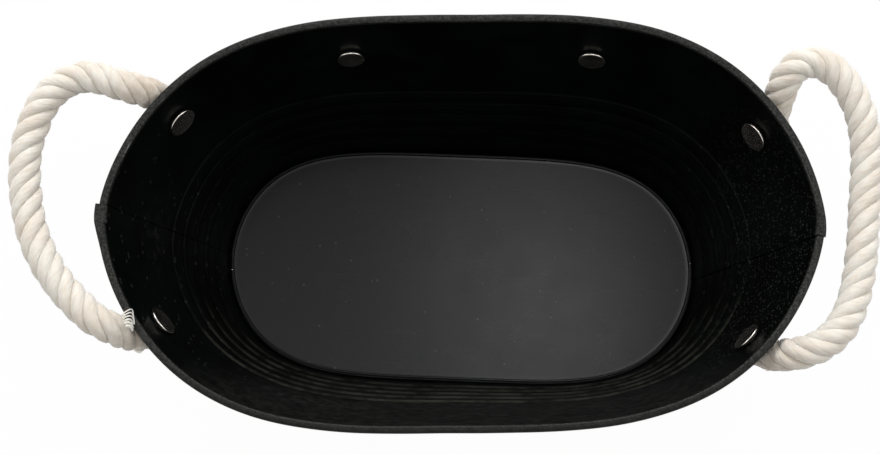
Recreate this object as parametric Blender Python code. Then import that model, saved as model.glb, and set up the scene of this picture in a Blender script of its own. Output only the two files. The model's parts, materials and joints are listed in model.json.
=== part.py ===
"""A small oblong sheet-metal basket with a rope handle at each end.

Two half shells of pressed sheet, alike but for two holes, make the wall, the rolled rim and the foot
flange. They lap at the two ends, where one shell's rolled rim wraps over the other's. A floor tray rests on
the flanges. Each handle is one rope: its two ends are pinned flat against the wall by rivets, rise beside
the rim and bend out over it into a loop, which can be lifted. Metres, +Z up, origin on the standing plane,
mid-foot.
"""
import math

import bmesh
import bpy
from mathutils import Matrix, Vector

# Body outline, seen from above
ROLL_HEIGHT = 0.165
RIM_HALF_LENGTH = 0.200
RIM_HALF_WIDTH = 0.1171
RIM_FULLNESS_SHARES = (3.47, 1.60)
RIM_SHEAR_SHARE = 0.0168
RIM_SKEW = 0.0017
FOOT_HALF_LENGTH = 0.1497
FOOT_HALF_WIDTH = 0.0746
FOOT_FULLNESS_SHARES = (4.40, 1.88)
FOOT_TURN = math.radians(-2.68)

# Sheet, its rolled rim and its foot flange
SHEET = 0.0008
ROLL_RADIUS = 0.0021
ROLL_TURN = math.radians(285)
ROLL_STEPS = 7
FLANGE_WIDTH = 0.008
FOLD_RADIUS = 0.0006
GAP = 0.0003

# Pressed beads round the lower wall
BEAD_COUNT = 5
BEAD_FIRST_HEIGHT = 0.025
BEAD_PITCH = 0.015
BEAD_WIDTH = 0.0085
BEAD_DEPTH = 0.0012

# Laps at the two ends
OVER_REACH = 0.0105
UNDER_REACH = 0.001
LAP_MARGIN = 0.0005
LAP_SWELL = 0.0045
LAP_STATION_GAP = 0.0022
OVER_INSET = 0.0005
OVER_ROLL_RADIUS = 0.0029
FLANGE_STUB = 0.0002

# Floor tray
TRAY_SHEET = 0.0010
TRAY_SIDE_GAP = 0.0013
TRAY_LIP_HEIGHT = 0.0025
TRAY_LIP_WIDTH = 0.0012

# Rivets
POST_RADIUS = 0.0025
CAP_THICKNESS = 0.0020
CAP_EDGE = 0.0008
CAP_STAND_OFF = 0.0009
HANDLE_CAP_RADIUS = 0.009
HANDLE_HEAD_RADIUS = 0.007
BACK_CAP_RADIUS = 0.008
BACK_HEAD_RADIUS = 0.007
HEAD_THICKNESS = 0.0024
HEAD_BORE_DEPTH = 0.0014
HEAD_SINK = 0.0015
HANDLE_RIVET_DROP = 0.027
HANDLE_RIVET_ANGLES = (math.radians(17.6), math.radians(157.9))
BACK_RIVET_DROP = 0.0345
BACK_RIVET_ANGLES = (math.radians(53.6), math.radians(120.8))
CUTTER_OVERRUN = 0.004
POCKET_OVERRUN = 0.010

# Rope
ROPE_RADIUS = 0.009
ROPE_STEP = 0.0072
NECK_RADIUS = 0.0076
NECK_LENGTH = 0.009
SHOULDER_LENGTH = 0.0006
PINNED_REACHES = (-0.024, -0.012, 0)
BINDING_END_GAP = 0.0004

# Rope routes, each from where it leaves the wall to the pivot beside the rim, round the loop and back.
# Heights are from the middle of the rolled rim.
LEFT_BACK_END = [
    (-0.1690, 0.0731, -0.0200), (-0.1720, 0.0744, -0.0130), (-0.1764, 0.0752, -0.0065),
    (-0.1818, 0.0760, -0.0018)]
LEFT_LOOP = [
    (-0.1880, 0.0774, 0.0006), (-0.1950, 0.0796, 0.0016), (-0.2035, 0.0815, 0.0020),
    (-0.2130, 0.0815, 0.0020), (-0.2240, 0.0760, 0.0015), (-0.2320, 0.0670, 0.0010),
    (-0.2370, 0.0560, 0.0000), (-0.2405, 0.0440, -0.0010), (-0.2415, 0.0300, -0.0020),
    (-0.2400, 0.0130, -0.0025), (-0.2367, -0.0027, -0.0025), (-0.2300, -0.0184, -0.0020),
    (-0.2195, -0.0340, -0.0010), (-0.2085, -0.0465, 0.0006), (-0.2000, -0.0545, 0.0014),
    (-0.1935, -0.0590, 0.0006)]
LEFT_FRONT_END = [
    (-0.1880, -0.0614, -0.0038), (-0.1842, -0.0620, -0.0100), (-0.1813, -0.0616, -0.0165),
    (-0.1790, -0.0607, -0.0218)]
RIGHT_BACK_END = [
    (0.1784, 0.0612, -0.0210), (0.1804, 0.0652, -0.0145), (0.1824, 0.0698, -0.0085),
    (0.1852, 0.0750, -0.0035)]
RIGHT_LOOP = [
    (0.1892, 0.0802, 0.0002), (0.1950, 0.0840, 0.0017), (0.2030, 0.0846, 0.0020), (0.2115, 0.0792, 0.0015),
    (0.2188, 0.0680, 0.0005), (0.2234, 0.0546, -0.0005), (0.2250, 0.0377, -0.0015),
    (0.2240, 0.0173, -0.0025), (0.2220, 0.0000, -0.0025), (0.2198, -0.0185, -0.0025),
    (0.2167, -0.0363, -0.0020), (0.2119, -0.0507, -0.0005), (0.2050, -0.0620, 0.0010),
    (0.1965, -0.0698, 0.0016), (0.1885, -0.0738, 0.0002)]
RIGHT_FRONT_END = [
    (0.1815, -0.0752, -0.0032), (0.1763, -0.0752, -0.0090), (0.1723, -0.0746, -0.0150),
    (0.1692, -0.0732, -0.0204)]

# Fineness of the round shapes
SHELL_STEPS = 32
ANGLE_PROBE = math.radians(0.5)
SEARCH_REACH = math.radians(45)
HALVINGS = 40
RIVET_SIDES = 16
CURVE_STEPS = 40
SMOOTH_ANGLE = math.radians(40)
ROUND_END_TURNS = (math.radians(75), math.radians(45), math.radians(20))


# Scene and materials

def clear_scene():
    """Removes whatever the open file holds."""
    for item in list(bpy.data.objects):
        bpy.data.objects.remove(item, do_unlink=True)


def finish(name, colour, roughness, metallic):
    """A plain material of one colour, roughness and metallic value."""
    material = bpy.data.materials.new(name)
    material.use_nodes = True
    shader = material.node_tree.nodes["Principled BSDF"]
    shader.inputs["Base Color"].default_value = (*colour, 1.0)
    shader.inputs["Roughness"].default_value = roughness
    shader.inputs["Metallic"].default_value = metallic
    return material


def add_object(name, data, material):
    """Links an object with its data and material into the scene."""
    item = bpy.data.objects.new(name, data)
    bpy.context.scene.collection.objects.link(item)
    if not data.materials:
        data.materials.append(material)
    return item


def mesh_of(name, points, faces):
    """A mesh with its faces turned outward and its round parts shaded smooth."""
    mesh = bpy.data.meshes.new(name)
    mesh.from_pydata(points, [], faces)
    shape = bmesh.new()
    shape.from_mesh(mesh)
    bmesh.ops.recalc_face_normals(shape, faces=shape.faces)
    shape.to_mesh(mesh)
    shape.free()
    mesh.shade_smooth()
    mesh.set_sharp_from_angle(angle=SMOOTH_ANGLE)
    return mesh


def ring_faces(rings, count):
    """Quads between neighbouring rings of count points each."""
    faces = []
    for ring in range(rings - 1):
        for side in range(count):
            after = (side + 1) % count
            low, high = ring * count, (ring + 1) * count
            faces.append((low + side, low + after, high + after, high + side))
    return faces


# Outline of the body

def power(value, exponent):
    """A signed power, which rounds or squares an ellipse."""
    return math.copysign(abs(value) ** exponent, value)


def rim_point(turn):
    """The outermost line of the rolled rim, seen from above."""
    x = RIM_HALF_LENGTH * power(math.cos(turn), 2 / RIM_FULLNESS_SHARES[0])
    y = RIM_HALF_WIDTH * power(math.sin(turn), 2 / RIM_FULLNESS_SHARES[1])
    along = x / RIM_HALF_LENGTH
    return Vector((x + RIM_SHEAR_SHARE * y, y - RIM_SKEW * power(along, 4)))


def foot_point(turn):
    """The wall's inner surface at the foot, seen from above."""
    x = FOOT_HALF_LENGTH * power(math.cos(turn), 2 / FOOT_FULLNESS_SHARES[0])
    y = FOOT_HALF_WIDTH * power(math.sin(turn), 2 / FOOT_FULLNESS_SHARES[1])
    return Matrix.Rotation(FOOT_TURN, 2) @ Vector((x, y))


def toward(curve, angle):
    """The point of an outline that lies in a given direction from the middle."""
    low, high = angle - SEARCH_REACH, angle + SEARCH_REACH
    for _ in range(HALVINGS):
        middle = (low + high) / 2
        spot = curve(middle)
        past = math.remainder(math.atan2(spot.y, spot.x) - angle, math.tau)
        low, high = (low, middle) if past > 0 else (middle, high)
    return curve((low + high) / 2)


def outward(curve, angle):
    """The outline's outward normal in a given direction."""
    run = toward(curve, angle + ANGLE_PROBE) - toward(curve, angle - ANGLE_PROBE)
    return Vector((run.y, -run.x)).normalized()


def station(angle):
    """Foot and rim points and normals of the wall's inner surface, in a given direction."""
    side = math.copysign(1, math.cos(angle))
    rim_normal = outward(rim_point, angle)
    top = toward(rim_point, angle) - 2 * ROLL_RADIUS * rim_normal
    square = math.asin(max(-1, min(1, top.y / FOOT_HALF_LENGTH)))
    level = square if side > 0 else math.pi - square
    fade = max(0, 1 - abs(top.y) / (RIM_HALF_WIDTH / 2))
    foot_angle = angle + fade * math.remainder(level - angle, math.tau)
    return toward(foot_point, foot_angle), top, outward(foot_point, foot_angle), rim_normal


def wall_spot(place, anchor, off, height):
    """A point off the wall's inner surface, which it meets at the anchor height."""
    foot, top, foot_normal, rim_normal = place
    share = anchor / ROLL_HEIGHT
    spot = foot.lerp(top, share) + off * foot_normal.lerp(rim_normal, share).normalized()
    return (spot.x, spot.y, height)


def wall_frame(angle, height):
    """A frame on the wall's inner surface, its Z axis straight out through the sheet."""
    place = station(angle)
    share = height / ROLL_HEIGHT
    spot = Vector(wall_spot(place, height, 0, height))
    level = place[2].lerp(place[3], share).normalized()
    rise = Vector(wall_spot(place, ROLL_HEIGHT, 0, ROLL_HEIGHT)) - Vector(wall_spot(place, 0, 0, 0))
    flat = Vector((-level.y, level.x, 0))
    normal = flat.cross(rise).normalized()
    return Matrix.Translation(spot) @ normal.to_track_quat("Z", "Y").to_matrix().to_4x4()


# Half shells

def section(trim, over, under):
    """The sheet's closed section as anchor height, distance off the wall line, and height.

    Trim, over and under are shares: of the flange cut away, and of a lap's outer and inner curl.
    """
    shift = (SHEET + GAP - OVER_INSET) * under - OVER_INSET * over
    under_radius = OVER_ROLL_RADIUS - SHEET - GAP
    radius = ROLL_RADIUS + (OVER_ROLL_RADIUS - ROLL_RADIUS) * over + (under_radius - ROLL_RADIUS) * under
    lift = (SHEET + GAP) * over
    flange = FLANGE_STUB + (FLANGE_WIDTH - FLANGE_STUB) * (1 - trim)
    beads = [(0, 0, lift + SHEET)]
    for bead in range(BEAD_COUNT):
        middle = BEAD_FIRST_HEIGHT + bead * BEAD_PITCH
        for reach, depth in ((-BEAD_WIDTH / 2, 0), (0, BEAD_DEPTH), (BEAD_WIDTH / 2, 0)):
            beads.append((middle + reach, -depth, middle + reach))
    arc = [math.pi - ROLL_TURN * step / ROLL_STEPS for step in range(ROLL_STEPS + 1)]
    points = [
        (0, shift - flange, lift),
        (0, shift + SHEET - FOLD_RADIUS, lift),
        (0, shift + SHEET, lift + FOLD_RADIUS)]
    points += [(anchor, shift + SHEET + off, height) for anchor, off, height in beads[1:]]
    centre = shift + radius
    for side, turns in ((radius - SHEET, arc), (radius, arc[::-1])):
        for turn in turns:
            points.append((ROLL_HEIGHT, centre + side * math.cos(turn), ROLL_HEIGHT + side * math.sin(turn)))
    points += [(anchor, shift + off, height) for anchor, off, height in beads[::-1]]
    points.append((0, shift - flange, lift + SHEET))
    return points


def shell_stations():
    """Directions round one shell with its section's shares, from the end that laps over to the one under."""
    over_start = -UNDER_REACH - LAP_MARGIN
    under_start = -OVER_REACH - LAP_MARGIN
    trim_end = over_start - LAP_SWELL
    stations = []
    over_end = ((OVER_REACH, 1, 1), (over_start, 1, 1), (trim_end, 1, 0), (trim_end - LAP_SWELL, 0, 0))
    for reach, trim, over in over_end:
        stations.append((math.pi - math.asin(reach / RIM_HALF_LENGTH), trim, over, 0))
    for step in range(1, SHELL_STEPS):
        turn = math.pi + math.pi * step / SHELL_STEPS
        angle = math.atan2(RIM_HALF_WIDTH * math.sin(turn), RIM_HALF_LENGTH * math.cos(turn)) % math.tau
        reach = RIM_HALF_LENGTH * math.sin(angle)
        nearest = trim_end if math.cos(angle) < 0 else under_start
        if reach < nearest - LAP_SWELL - LAP_STATION_GAP:
            stations.append((angle, 0, 0, 0))
    for reach, under in ((under_start - LAP_SWELL, 0), (under_start, 1), (UNDER_REACH, 1)):
        stations.append((math.tau + math.asin(reach / RIM_HALF_LENGTH), 0, 0, under))
    return stations


def shell_mesh():
    """The mesh of one half shell, swept from lap to lap and closed at both ends."""
    points = []
    stations = shell_stations()
    for angle, *shares in stations:
        place = station(angle)
        points += [wall_spot(place, *spot) for spot in section(*shares)]
    count = len(points) // len(stations)
    last = len(points) - count
    faces = ring_faces(len(stations), count)
    faces += [tuple(range(count))[::-1], tuple(range(last, last + count))]
    return mesh_of("half_shell", points, faces)


# Floor tray

def tray_mesh():
    """The floor with its small upturned lip, inside the foot of the wall."""
    bottom = SHEET + GAP
    rim = bottom + TRAY_LIP_HEIGHT
    inner = -TRAY_SIDE_GAP - TRAY_LIP_WIDTH
    profile = [(-TRAY_SIDE_GAP, bottom), (-TRAY_SIDE_GAP, rim), (inner, rim), (inner, bottom + TRAY_SHEET)]
    count = 2 * SHELL_STEPS
    points = []
    for off, height in profile:
        for step in range(count):
            turn = math.tau * step / count
            angle = math.atan2(RIM_HALF_WIDTH * math.sin(turn), RIM_HALF_LENGTH * math.cos(turn))
            points.append(wall_spot(station(angle), 0, off, height))
    faces = ring_faces(len(profile), count)
    last = len(points) - count
    faces += [tuple(range(count))[::-1], tuple(range(last, last + count))]
    return mesh_of("floor_tray", points, faces)


# Rivets

def turned_mesh(name, profile, closed=False):
    """A round shape from radius and height pairs, its ends flat, or a ring where the profile is closed."""
    points = []
    for radius, height in profile:
        for side in range(RIVET_SIDES):
            turn = math.tau * side / RIVET_SIDES
            points.append((radius * math.cos(turn), radius * math.sin(turn), height))
    faces = ring_faces(len(profile), RIVET_SIDES)
    last = len(points) - RIVET_SIDES
    if closed:
        for side in range(RIVET_SIDES):
            after = (side + 1) % RIVET_SIDES
            faces.append((last + side, last + after, after, side))
    else:
        faces += [tuple(range(RIVET_SIDES))[::-1], tuple(range(last, last + RIVET_SIDES))]
    return mesh_of(name, points, faces)


def cap_mesh(name, radius, head_base):
    """An inner cap with the post that runs out to its head."""
    face = -CAP_STAND_OFF - CAP_THICKNESS
    end = head_base + HEAD_BORE_DEPTH - GAP
    return turned_mesh(name, [
        (radius - CAP_EDGE, face),
        (radius - CAP_EDGE / 4, face + CAP_EDGE / 4),
        (radius, face + CAP_EDGE),
        (radius, -CAP_STAND_OFF),
        (POST_RADIUS, -CAP_STAND_OFF),
        (POST_RADIUS, end)])


def head_mesh(name, radius, base):
    """An outer head with the blind bore that takes the post's end."""
    bore = POST_RADIUS + GAP
    top = base + HEAD_THICKNESS
    return turned_mesh(name, [
        (bore, base + HEAD_BORE_DEPTH),
        (bore, base),
        (radius, base),
        (radius, top - CAP_EDGE),
        (radius - CAP_EDGE, top)])


def hole_cutter(name, frame, head_radius, head_base):
    """A hidden stepped pin that cuts the post's hole and the head's pocket."""
    hole = POST_RADIUS + GAP
    mesh = turned_mesh(name, [
        (hole, -CUTTER_OVERRUN),
        (hole, head_base - GAP),
        (head_radius + GAP, head_base - GAP),
        (head_radius + GAP, head_base + POCKET_OVERRUN)])
    cutter = bpy.data.objects.new(name, mesh)
    bpy.context.scene.collection.objects.link(cutter)
    cutter.matrix_world = frame
    cutter.hide_render = True
    cutter.display_type = "WIRE"
    return cutter


def cut(item, cutter):
    """Takes the cutter's shape out of an object."""
    change = item.modifiers.new(cutter.name, "BOOLEAN")
    change.operation = "DIFFERENCE"
    change.object = cutter


def add_rivet(name, frame, cap, head, material):
    """One rivet, its capped post and its head."""
    for end, mesh in (("cap", cap), ("head", head)):
        piece = add_object(f"{name}_{end}", mesh, material)
        piece.matrix_world = frame


# Ropes

def smooth_run(points):
    """A smooth curve through a route's points, close together, with each given point's place in it."""
    ends = [2 * points[0] - points[1]] + points + [2 * points[-1] - points[-2]]
    curve, given = [], []
    for index in range(1, len(ends) - 2):
        four = ends[index - 1:index + 3]
        knots = [0.0]
        for before, after in zip(four, four[1:]):
            knots.append(knots[-1] + math.sqrt((after - before).length))
        given.append(len(curve))
        for step in range(CURVE_STEPS):
            curve.append(between(four, knots, knots[1] + (knots[2] - knots[1]) * step / CURVE_STEPS))
    given.append(len(curve))
    return curve + [points[-1]], given


def between(four, knots, place):
    """A point between the middle two of four points, on a curve through them all."""
    def mixed(before, after, start, end):
        share = (place - knots[start]) / (knots[end] - knots[start])
        return before.lerp(after, share)

    sides = [mixed(four[i], four[i + 1], i, i + 1) for i in range(3)]
    arms = [mixed(sides[i], sides[i + 1], i, i + 2) for i in range(2)]
    return mixed(arms[0], arms[1], 1, 2)


def even_steps(curve, step):
    """Points along a curve at even distances, its two ends kept."""
    lengths = [0.0]
    for before, after in zip(curve, curve[1:]):
        lengths.append(lengths[-1] + (after - before).length)
    count = max(2, round(lengths[-1] / step))
    points, index = [], 0
    for number in range(count + 1):
        goal = lengths[-1] * number / count
        while index < len(curve) - 2 and lengths[index + 1] < goal:
            index += 1
        share = (goal - lengths[index]) / (lengths[index + 1] - lengths[index])
        points.append(curve[index].lerp(curve[index + 1], share))
    return points


def trimmed_steps(curve):
    """Even steps from the curve's start, ending where a square end clears a ball about the curve's end."""
    stop = len(curve)
    line = even_steps(curve, ROPE_STEP)
    while (curve[-1] - line[-1]).dot((line[-1] - line[-2]).normalized()) < ROPE_RADIUS + GAP:
        stop -= 1
        line = even_steps(curve[:stop], ROPE_STEP)
    return line


def tube_curve(name, points, origin):
    """A round tube through points, each with the share of the rope's radius it has there."""
    curve = bpy.data.curves.new(name, "CURVE")
    curve.dimensions = "3D"
    curve.bevel_depth = ROPE_RADIUS
    curve.bevel_resolution = 4
    curve.use_fill_caps = True
    line = curve.splines.new("POLY")
    line.points.add(len(points) - 1)
    for knot, (spot, share) in zip(line.points, points):
        knot.co = (*(spot - origin), 1)
        knot.radius = share
    line.use_smooth = True
    return curve


def rounded_end(spot, run):
    """The points of a round end about a pivot, from its tip in."""
    return [(spot - run * ROPE_RADIUS * math.sin(turn), math.cos(turn)) for turn in ROUND_END_TURNS]


def loop_points(curve):
    """The loop from pivot to pivot, each end rounded about its pivot."""
    body = even_steps(curve, ROPE_STEP)
    first = (body[1] - body[0]).normalized()
    last = (body[-2] - body[-1]).normalized()
    start = rounded_end(body[0], first)
    end = rounded_end(body[-1], last)
    return start + [(spot, 1.0) for spot in body] + end[::-1]


def end_points(curve):
    """A pinned rope end from its bound tip to just short of the pivot."""
    line = trimmed_steps(curve)
    run = (line[1] - line[0]).normalized()
    neck = NECK_RADIUS / ROPE_RADIUS
    points = [(line[0], neck), (line[0] + run * NECK_LENGTH, neck)]
    points.append((line[0] + run * (NECK_LENGTH + SHOULDER_LENGTH), 1.0))
    return points + [(spot, 1.0) for spot in line[2:]]


def rope_end_mesh(name, points):
    """A pinned rope end as a mesh, so that the rivet's hole can be cut in it."""
    holder = bpy.data.objects.new(name, tube_curve(name, points, Vector()))
    bpy.context.scene.collection.objects.link(holder)
    graph = bpy.context.evaluated_depsgraph_get()
    mesh = bpy.data.meshes.new_from_object(holder.evaluated_get(graph))
    bpy.data.objects.remove(holder, do_unlink=True)
    mesh.materials.clear()
    return mesh


def binding_mesh():
    """The thread wound round a rope's tip, as a plain sleeve about Z."""
    bore = NECK_RADIUS + GAP
    low, high = BINDING_END_GAP, NECK_LENGTH - BINDING_END_GAP
    profile = [(bore, low), (ROPE_RADIUS, low), (ROPE_RADIUS, high), (bore, high)]
    return turned_mesh("binding", profile, closed=True)


def add_rope_end(name, points, cutter, binding, rope, thread):
    """One pinned rope end and the binding round its tip."""
    piece = add_object(f"{name}_rope_end", rope_end_mesh(name, points), rope)
    cut(piece, cutter)
    sleeve = add_object(f"{name}_binding", binding, thread)
    run = (points[1][0] - points[0][0]).normalized()
    sleeve.matrix_world = Matrix.Translation(points[0][0]) @ run.to_track_quat("Z", "Y").to_matrix().to_4x4()


def pinned_points(frame):
    """The rope's line where a rivet pins it flat against the wall, from its tip up."""
    off = SHEET + GAP + ROPE_RADIUS
    out = frame.to_3x3().col[2]
    up = (Vector((0, 0, 1)) - out * out.z).normalized()
    return [frame.translation + out * off + up * reach for reach in PINNED_REACHES]


def above_rim(points):
    """Points whose heights are given from the middle of the rolled rim."""
    return [Vector((x, y, ROLL_HEIGHT + rise)) for x, y, rise in points]


def add_handle(side, routes, cutters, binding, rope, thread):
    """One rope handle: its loop on a pivot, its two pinned ends and their bindings."""
    back_end, loop, front_end = (above_rim(route) for route in routes)
    back_end = pinned_points(cutters[0].matrix_world) + back_end
    front_end = front_end + pinned_points(cutters[1].matrix_world)[::-1]
    curve, given = smooth_run(back_end + loop + front_end)
    first = given[len(back_end)]
    last = given[len(back_end) + len(loop) - 1]
    pivot = bpy.data.objects.new(f"{side}_pivot", None)
    bpy.context.scene.collection.objects.link(pivot)
    pivot.location = curve[first]
    points = loop_points(curve[first:last + 1])
    piece = add_object(f"{side}_handle_loop", tube_curve(f"{side}_handle_loop", points, curve[first]), rope)
    piece.parent = pivot
    add_rope_end(f"{side}_back", end_points(curve[:first + 1]), cutters[0], binding, rope, thread)
    add_rope_end(f"{side}_front", end_points(curve[last:][::-1]), cutters[1], binding, rope, thread)


# Assembly

def build():
    """Builds every piece of the basket."""
    clear_scene()
    paint = finish("black_paint", (0.018, 0.018, 0.020), 0.42, 0.0)
    floor_paint = finish("floor_paint", (0.030, 0.031, 0.033), 0.50, 0.0)
    steel = finish("rivet_steel", (0.300, 0.280, 0.255), 0.35, 1.0)
    rope = finish("rope_fibre", (0.780, 0.730, 0.640), 0.90, 0.0)
    thread = finish("binding_thread", (0.800, 0.750, 0.660), 0.85, 0.0)

    shell = shell_mesh()
    front = add_object("front_shell", shell, paint)
    back = add_object("back_shell", shell, paint)
    back.rotation_euler.z = math.pi
    add_object("floor_tray", tray_mesh(), floor_paint)

    rope_head_base = SHEET + GAP + 2 * ROPE_RADIUS - HEAD_SINK
    handle_cap = cap_mesh("handle_cap", HANDLE_CAP_RADIUS, rope_head_base)
    handle_head = head_mesh("handle_head", HANDLE_HEAD_RADIUS, rope_head_base)
    corners = {}
    for shell_object, half, turn in ((back, "back", 0), (front, "front", math.pi)):
        for angle in HANDLE_RIVET_ANGLES:
            frame = wall_frame(angle + turn, ROLL_HEIGHT - HANDLE_RIVET_DROP)
            name = f"{'right' if frame.translation.x > 0 else 'left'}_{half}"
            add_rivet(f"{name}_rivet", frame, handle_cap, handle_head, steel)
            cutter = hole_cutter(f"{name}_cutter", frame, HANDLE_HEAD_RADIUS, rope_head_base)
            cut(shell_object, cutter)
            corners[name] = cutter

    wall_head_base = SHEET + GAP
    back_cap = cap_mesh("back_cap", BACK_CAP_RADIUS, wall_head_base)
    back_head = head_mesh("back_head", BACK_HEAD_RADIUS, wall_head_base)
    for side, angle in zip(("right", "left"), BACK_RIVET_ANGLES):
        frame = wall_frame(angle, ROLL_HEIGHT - BACK_RIVET_DROP)
        add_rivet(f"rear_{side}_rivet", frame, back_cap, back_head, steel)
        cut(back, hole_cutter(f"rear_{side}_cutter", frame, POST_RADIUS, wall_head_base))

    binding = binding_mesh()
    left = (corners["left_back"], corners["left_front"])
    right = (corners["right_back"], corners["right_front"])
    left_routes = (LEFT_BACK_END, LEFT_LOOP, LEFT_FRONT_END)
    right_routes = (RIGHT_BACK_END, RIGHT_LOOP, RIGHT_FRONT_END)
    add_handle("left", left_routes, left, binding, rope, thread)
    add_handle("right", right_routes, right, binding, rope, thread)


build()
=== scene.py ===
# %% [markdown]
# # An oblong metal basket with two rope handles
#
# The basket is two pressed half shells of black painted sheet, a floor tray, six rivets and two thick cotton
# ropes. The frame already holds every piece at its real size and place, so this lesson only makes the
# surfaces: each sheet, rivet and rope is built again with enough faces to look right, and every piece but the
# ropes rides on the body that carries it.

# %% Load the frame
import json
import math

import bmesh
import bpy
import numpy as np
from mathutils import Matrix, Vector


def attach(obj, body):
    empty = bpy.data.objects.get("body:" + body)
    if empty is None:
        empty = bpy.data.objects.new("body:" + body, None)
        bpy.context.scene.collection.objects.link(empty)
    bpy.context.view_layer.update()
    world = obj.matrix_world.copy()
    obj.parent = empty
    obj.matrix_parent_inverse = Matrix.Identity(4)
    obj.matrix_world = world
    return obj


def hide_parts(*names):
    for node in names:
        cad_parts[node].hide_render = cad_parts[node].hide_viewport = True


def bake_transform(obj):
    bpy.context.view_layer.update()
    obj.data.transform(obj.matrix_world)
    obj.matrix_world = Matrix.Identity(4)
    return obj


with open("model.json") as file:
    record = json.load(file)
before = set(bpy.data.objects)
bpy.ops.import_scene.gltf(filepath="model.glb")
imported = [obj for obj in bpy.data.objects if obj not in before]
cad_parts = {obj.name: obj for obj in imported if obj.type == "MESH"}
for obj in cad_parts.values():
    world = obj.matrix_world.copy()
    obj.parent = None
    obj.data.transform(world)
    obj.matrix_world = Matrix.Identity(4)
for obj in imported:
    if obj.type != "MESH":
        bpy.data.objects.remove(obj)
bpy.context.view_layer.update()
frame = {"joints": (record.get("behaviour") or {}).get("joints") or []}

# %% [markdown]
# ## The camera
#
# The photograph looks down into the basket from a little in front of it. Where the camera stood was worked
# out from the outlines of the rim and the floor, which are flat curves at two known heights. Blender wants a
# lens in millimetres on a 36 mm sensor, so the focal length in pixels is scaled by the width of the picture.
# The point straight ahead of the lens lies a few pixels off the picture's middle, which the camera's shift
# takes up.

# %% Set up the camera
MM = 0.001
PICTURE_WIDTH_PX, PICTURE_HEIGHT_PX = 880, 454
FOCAL_PX = 1614.2
AHEAD_PX = (459.86, 231.0)
SENSOR_MM = 36
CAMERA_TILT = math.radians(79.615)
CAMERA_ROLL = math.radians(0.437)
CAMERA_DISTANCE = 0.8857
CAMERA_TARGET = Vector((-0.72, -6.59, 165.0)) * MM


def add_camera():
    """The camera at the photograph's place, tilt, roll and lens."""
    back = Vector((0, -math.cos(CAMERA_TILT), math.sin(CAMERA_TILT)))
    right = Vector((1, 0, 0))
    up = back.cross(right)
    across = math.cos(CAMERA_ROLL) * right - math.sin(CAMERA_ROLL) * up
    upright = math.sin(CAMERA_ROLL) * right + math.cos(CAMERA_ROLL) * up
    turn = Matrix((across, upright, back)).transposed().to_4x4()
    lens = bpy.data.cameras.new("camera")
    lens.sensor_width = SENSOR_MM
    lens.lens = FOCAL_PX / PICTURE_WIDTH_PX * SENSOR_MM
    lens.shift_x = (PICTURE_WIDTH_PX / 2 - AHEAD_PX[0]) / PICTURE_WIDTH_PX
    lens.shift_y = (AHEAD_PX[1] - PICTURE_HEIGHT_PX / 2) / PICTURE_WIDTH_PX
    camera = bpy.data.objects.new("camera", lens)
    bpy.context.scene.collection.objects.link(camera)
    camera.matrix_world = Matrix.Translation(CAMERA_TARGET + CAMERA_DISTANCE * back) @ turn
    bpy.context.scene.camera = camera
    return camera


camera = add_camera()
print("camera at", [round(c, 3) for c in camera.location], "lens", round(camera.data.lens, 1))

# %% [markdown]
# ## The ropes' routes
#
# Each handle is one rope. Its tips hang below the rim, pinned to the wall by a rivet through them. From there
# it rises beside the rim, bends out over it and runs round to the other end. The routes are given lists of
# points. They are the frame's, moved along the rim by up to 5 mm where two of the ends cross it, and a smooth
# curve is drawn through them.

# %% Rope routes and sizes
ROPE_DIAMETER = 18 * MM
LEFT_BACK_END = [
    (-0.1642, 0.0671, 0.1124), (-0.1662, 0.0688, 0.1241), (-0.1681, 0.0705, 0.1358), (-0.169, 0.0731, 0.145),
    (-0.172, 0.0744, 0.152), (-0.1764, 0.0752, 0.1585), (-0.1818, 0.076, 0.1632)]
LEFT_LOOP = [
    (-0.188, 0.0774, 0.1656), (-0.195, 0.0796, 0.1666), (-0.2035, 0.0815, 0.167), (-0.213, 0.0815, 0.167),
    (-0.224, 0.076, 0.1665), (-0.232, 0.067, 0.166), (-0.237, 0.056, 0.165), (-0.2405, 0.044, 0.164),
    (-0.2415, 0.03, 0.163), (-0.24, 0.013, 0.1625), (-0.2367, -0.0027, 0.1625), (-0.23, -0.0184, 0.163),
    (-0.2195, -0.034, 0.164), (-0.2087, -0.0459, 0.1656), (-0.2006, -0.0531, 0.1664),
    (-0.1945, -0.0567, 0.1656)]
LEFT_FRONT_END = [
    (-0.189, -0.0591, 0.1612), (-0.1849, -0.0603, 0.155), (-0.1817, -0.0606, 0.1485),
    (-0.1792, -0.0602, 0.1432), (-0.177, -0.0582, 0.1355), (-0.1745, -0.0565, 0.1239),
    (-0.1721, -0.0549, 0.1122)]
RIGHT_BACK_END = [
    (0.1721, 0.0549, 0.1122), (0.1745, 0.0565, 0.1239), (0.177, 0.0582, 0.1355), (0.1777, 0.0621, 0.144),
    (0.179, 0.067, 0.1505), (0.1803, 0.0725, 0.1565), (0.1824, 0.0785, 0.1615)]
RIGHT_LOOP = [
    (0.1864, 0.0837, 0.1652), (0.1928, 0.0868, 0.1667), (0.2016, 0.0864, 0.167), (0.2109, 0.0799, 0.1665),
    (0.2188, 0.068, 0.1655), (0.2234, 0.0546, 0.1645), (0.225, 0.0377, 0.1635), (0.224, 0.0173, 0.1625),
    (0.222, 0.0, 0.1625), (0.2198, -0.0185, 0.1625), (0.2167, -0.0363, 0.163), (0.2119, -0.0507, 0.1645),
    (0.205, -0.062, 0.166), (0.1965, -0.0698, 0.1666), (0.1885, -0.0738, 0.1652)]
RIGHT_FRONT_END = [
    (0.1815, -0.0752, 0.1618), (0.1763, -0.0752, 0.156), (0.1723, -0.0746, 0.15), (0.1692, -0.0732, 0.1446),
    (0.1681, -0.0705, 0.1358), (0.1662, -0.0688, 0.1241), (0.1642, -0.0671, 0.1124)]
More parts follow.
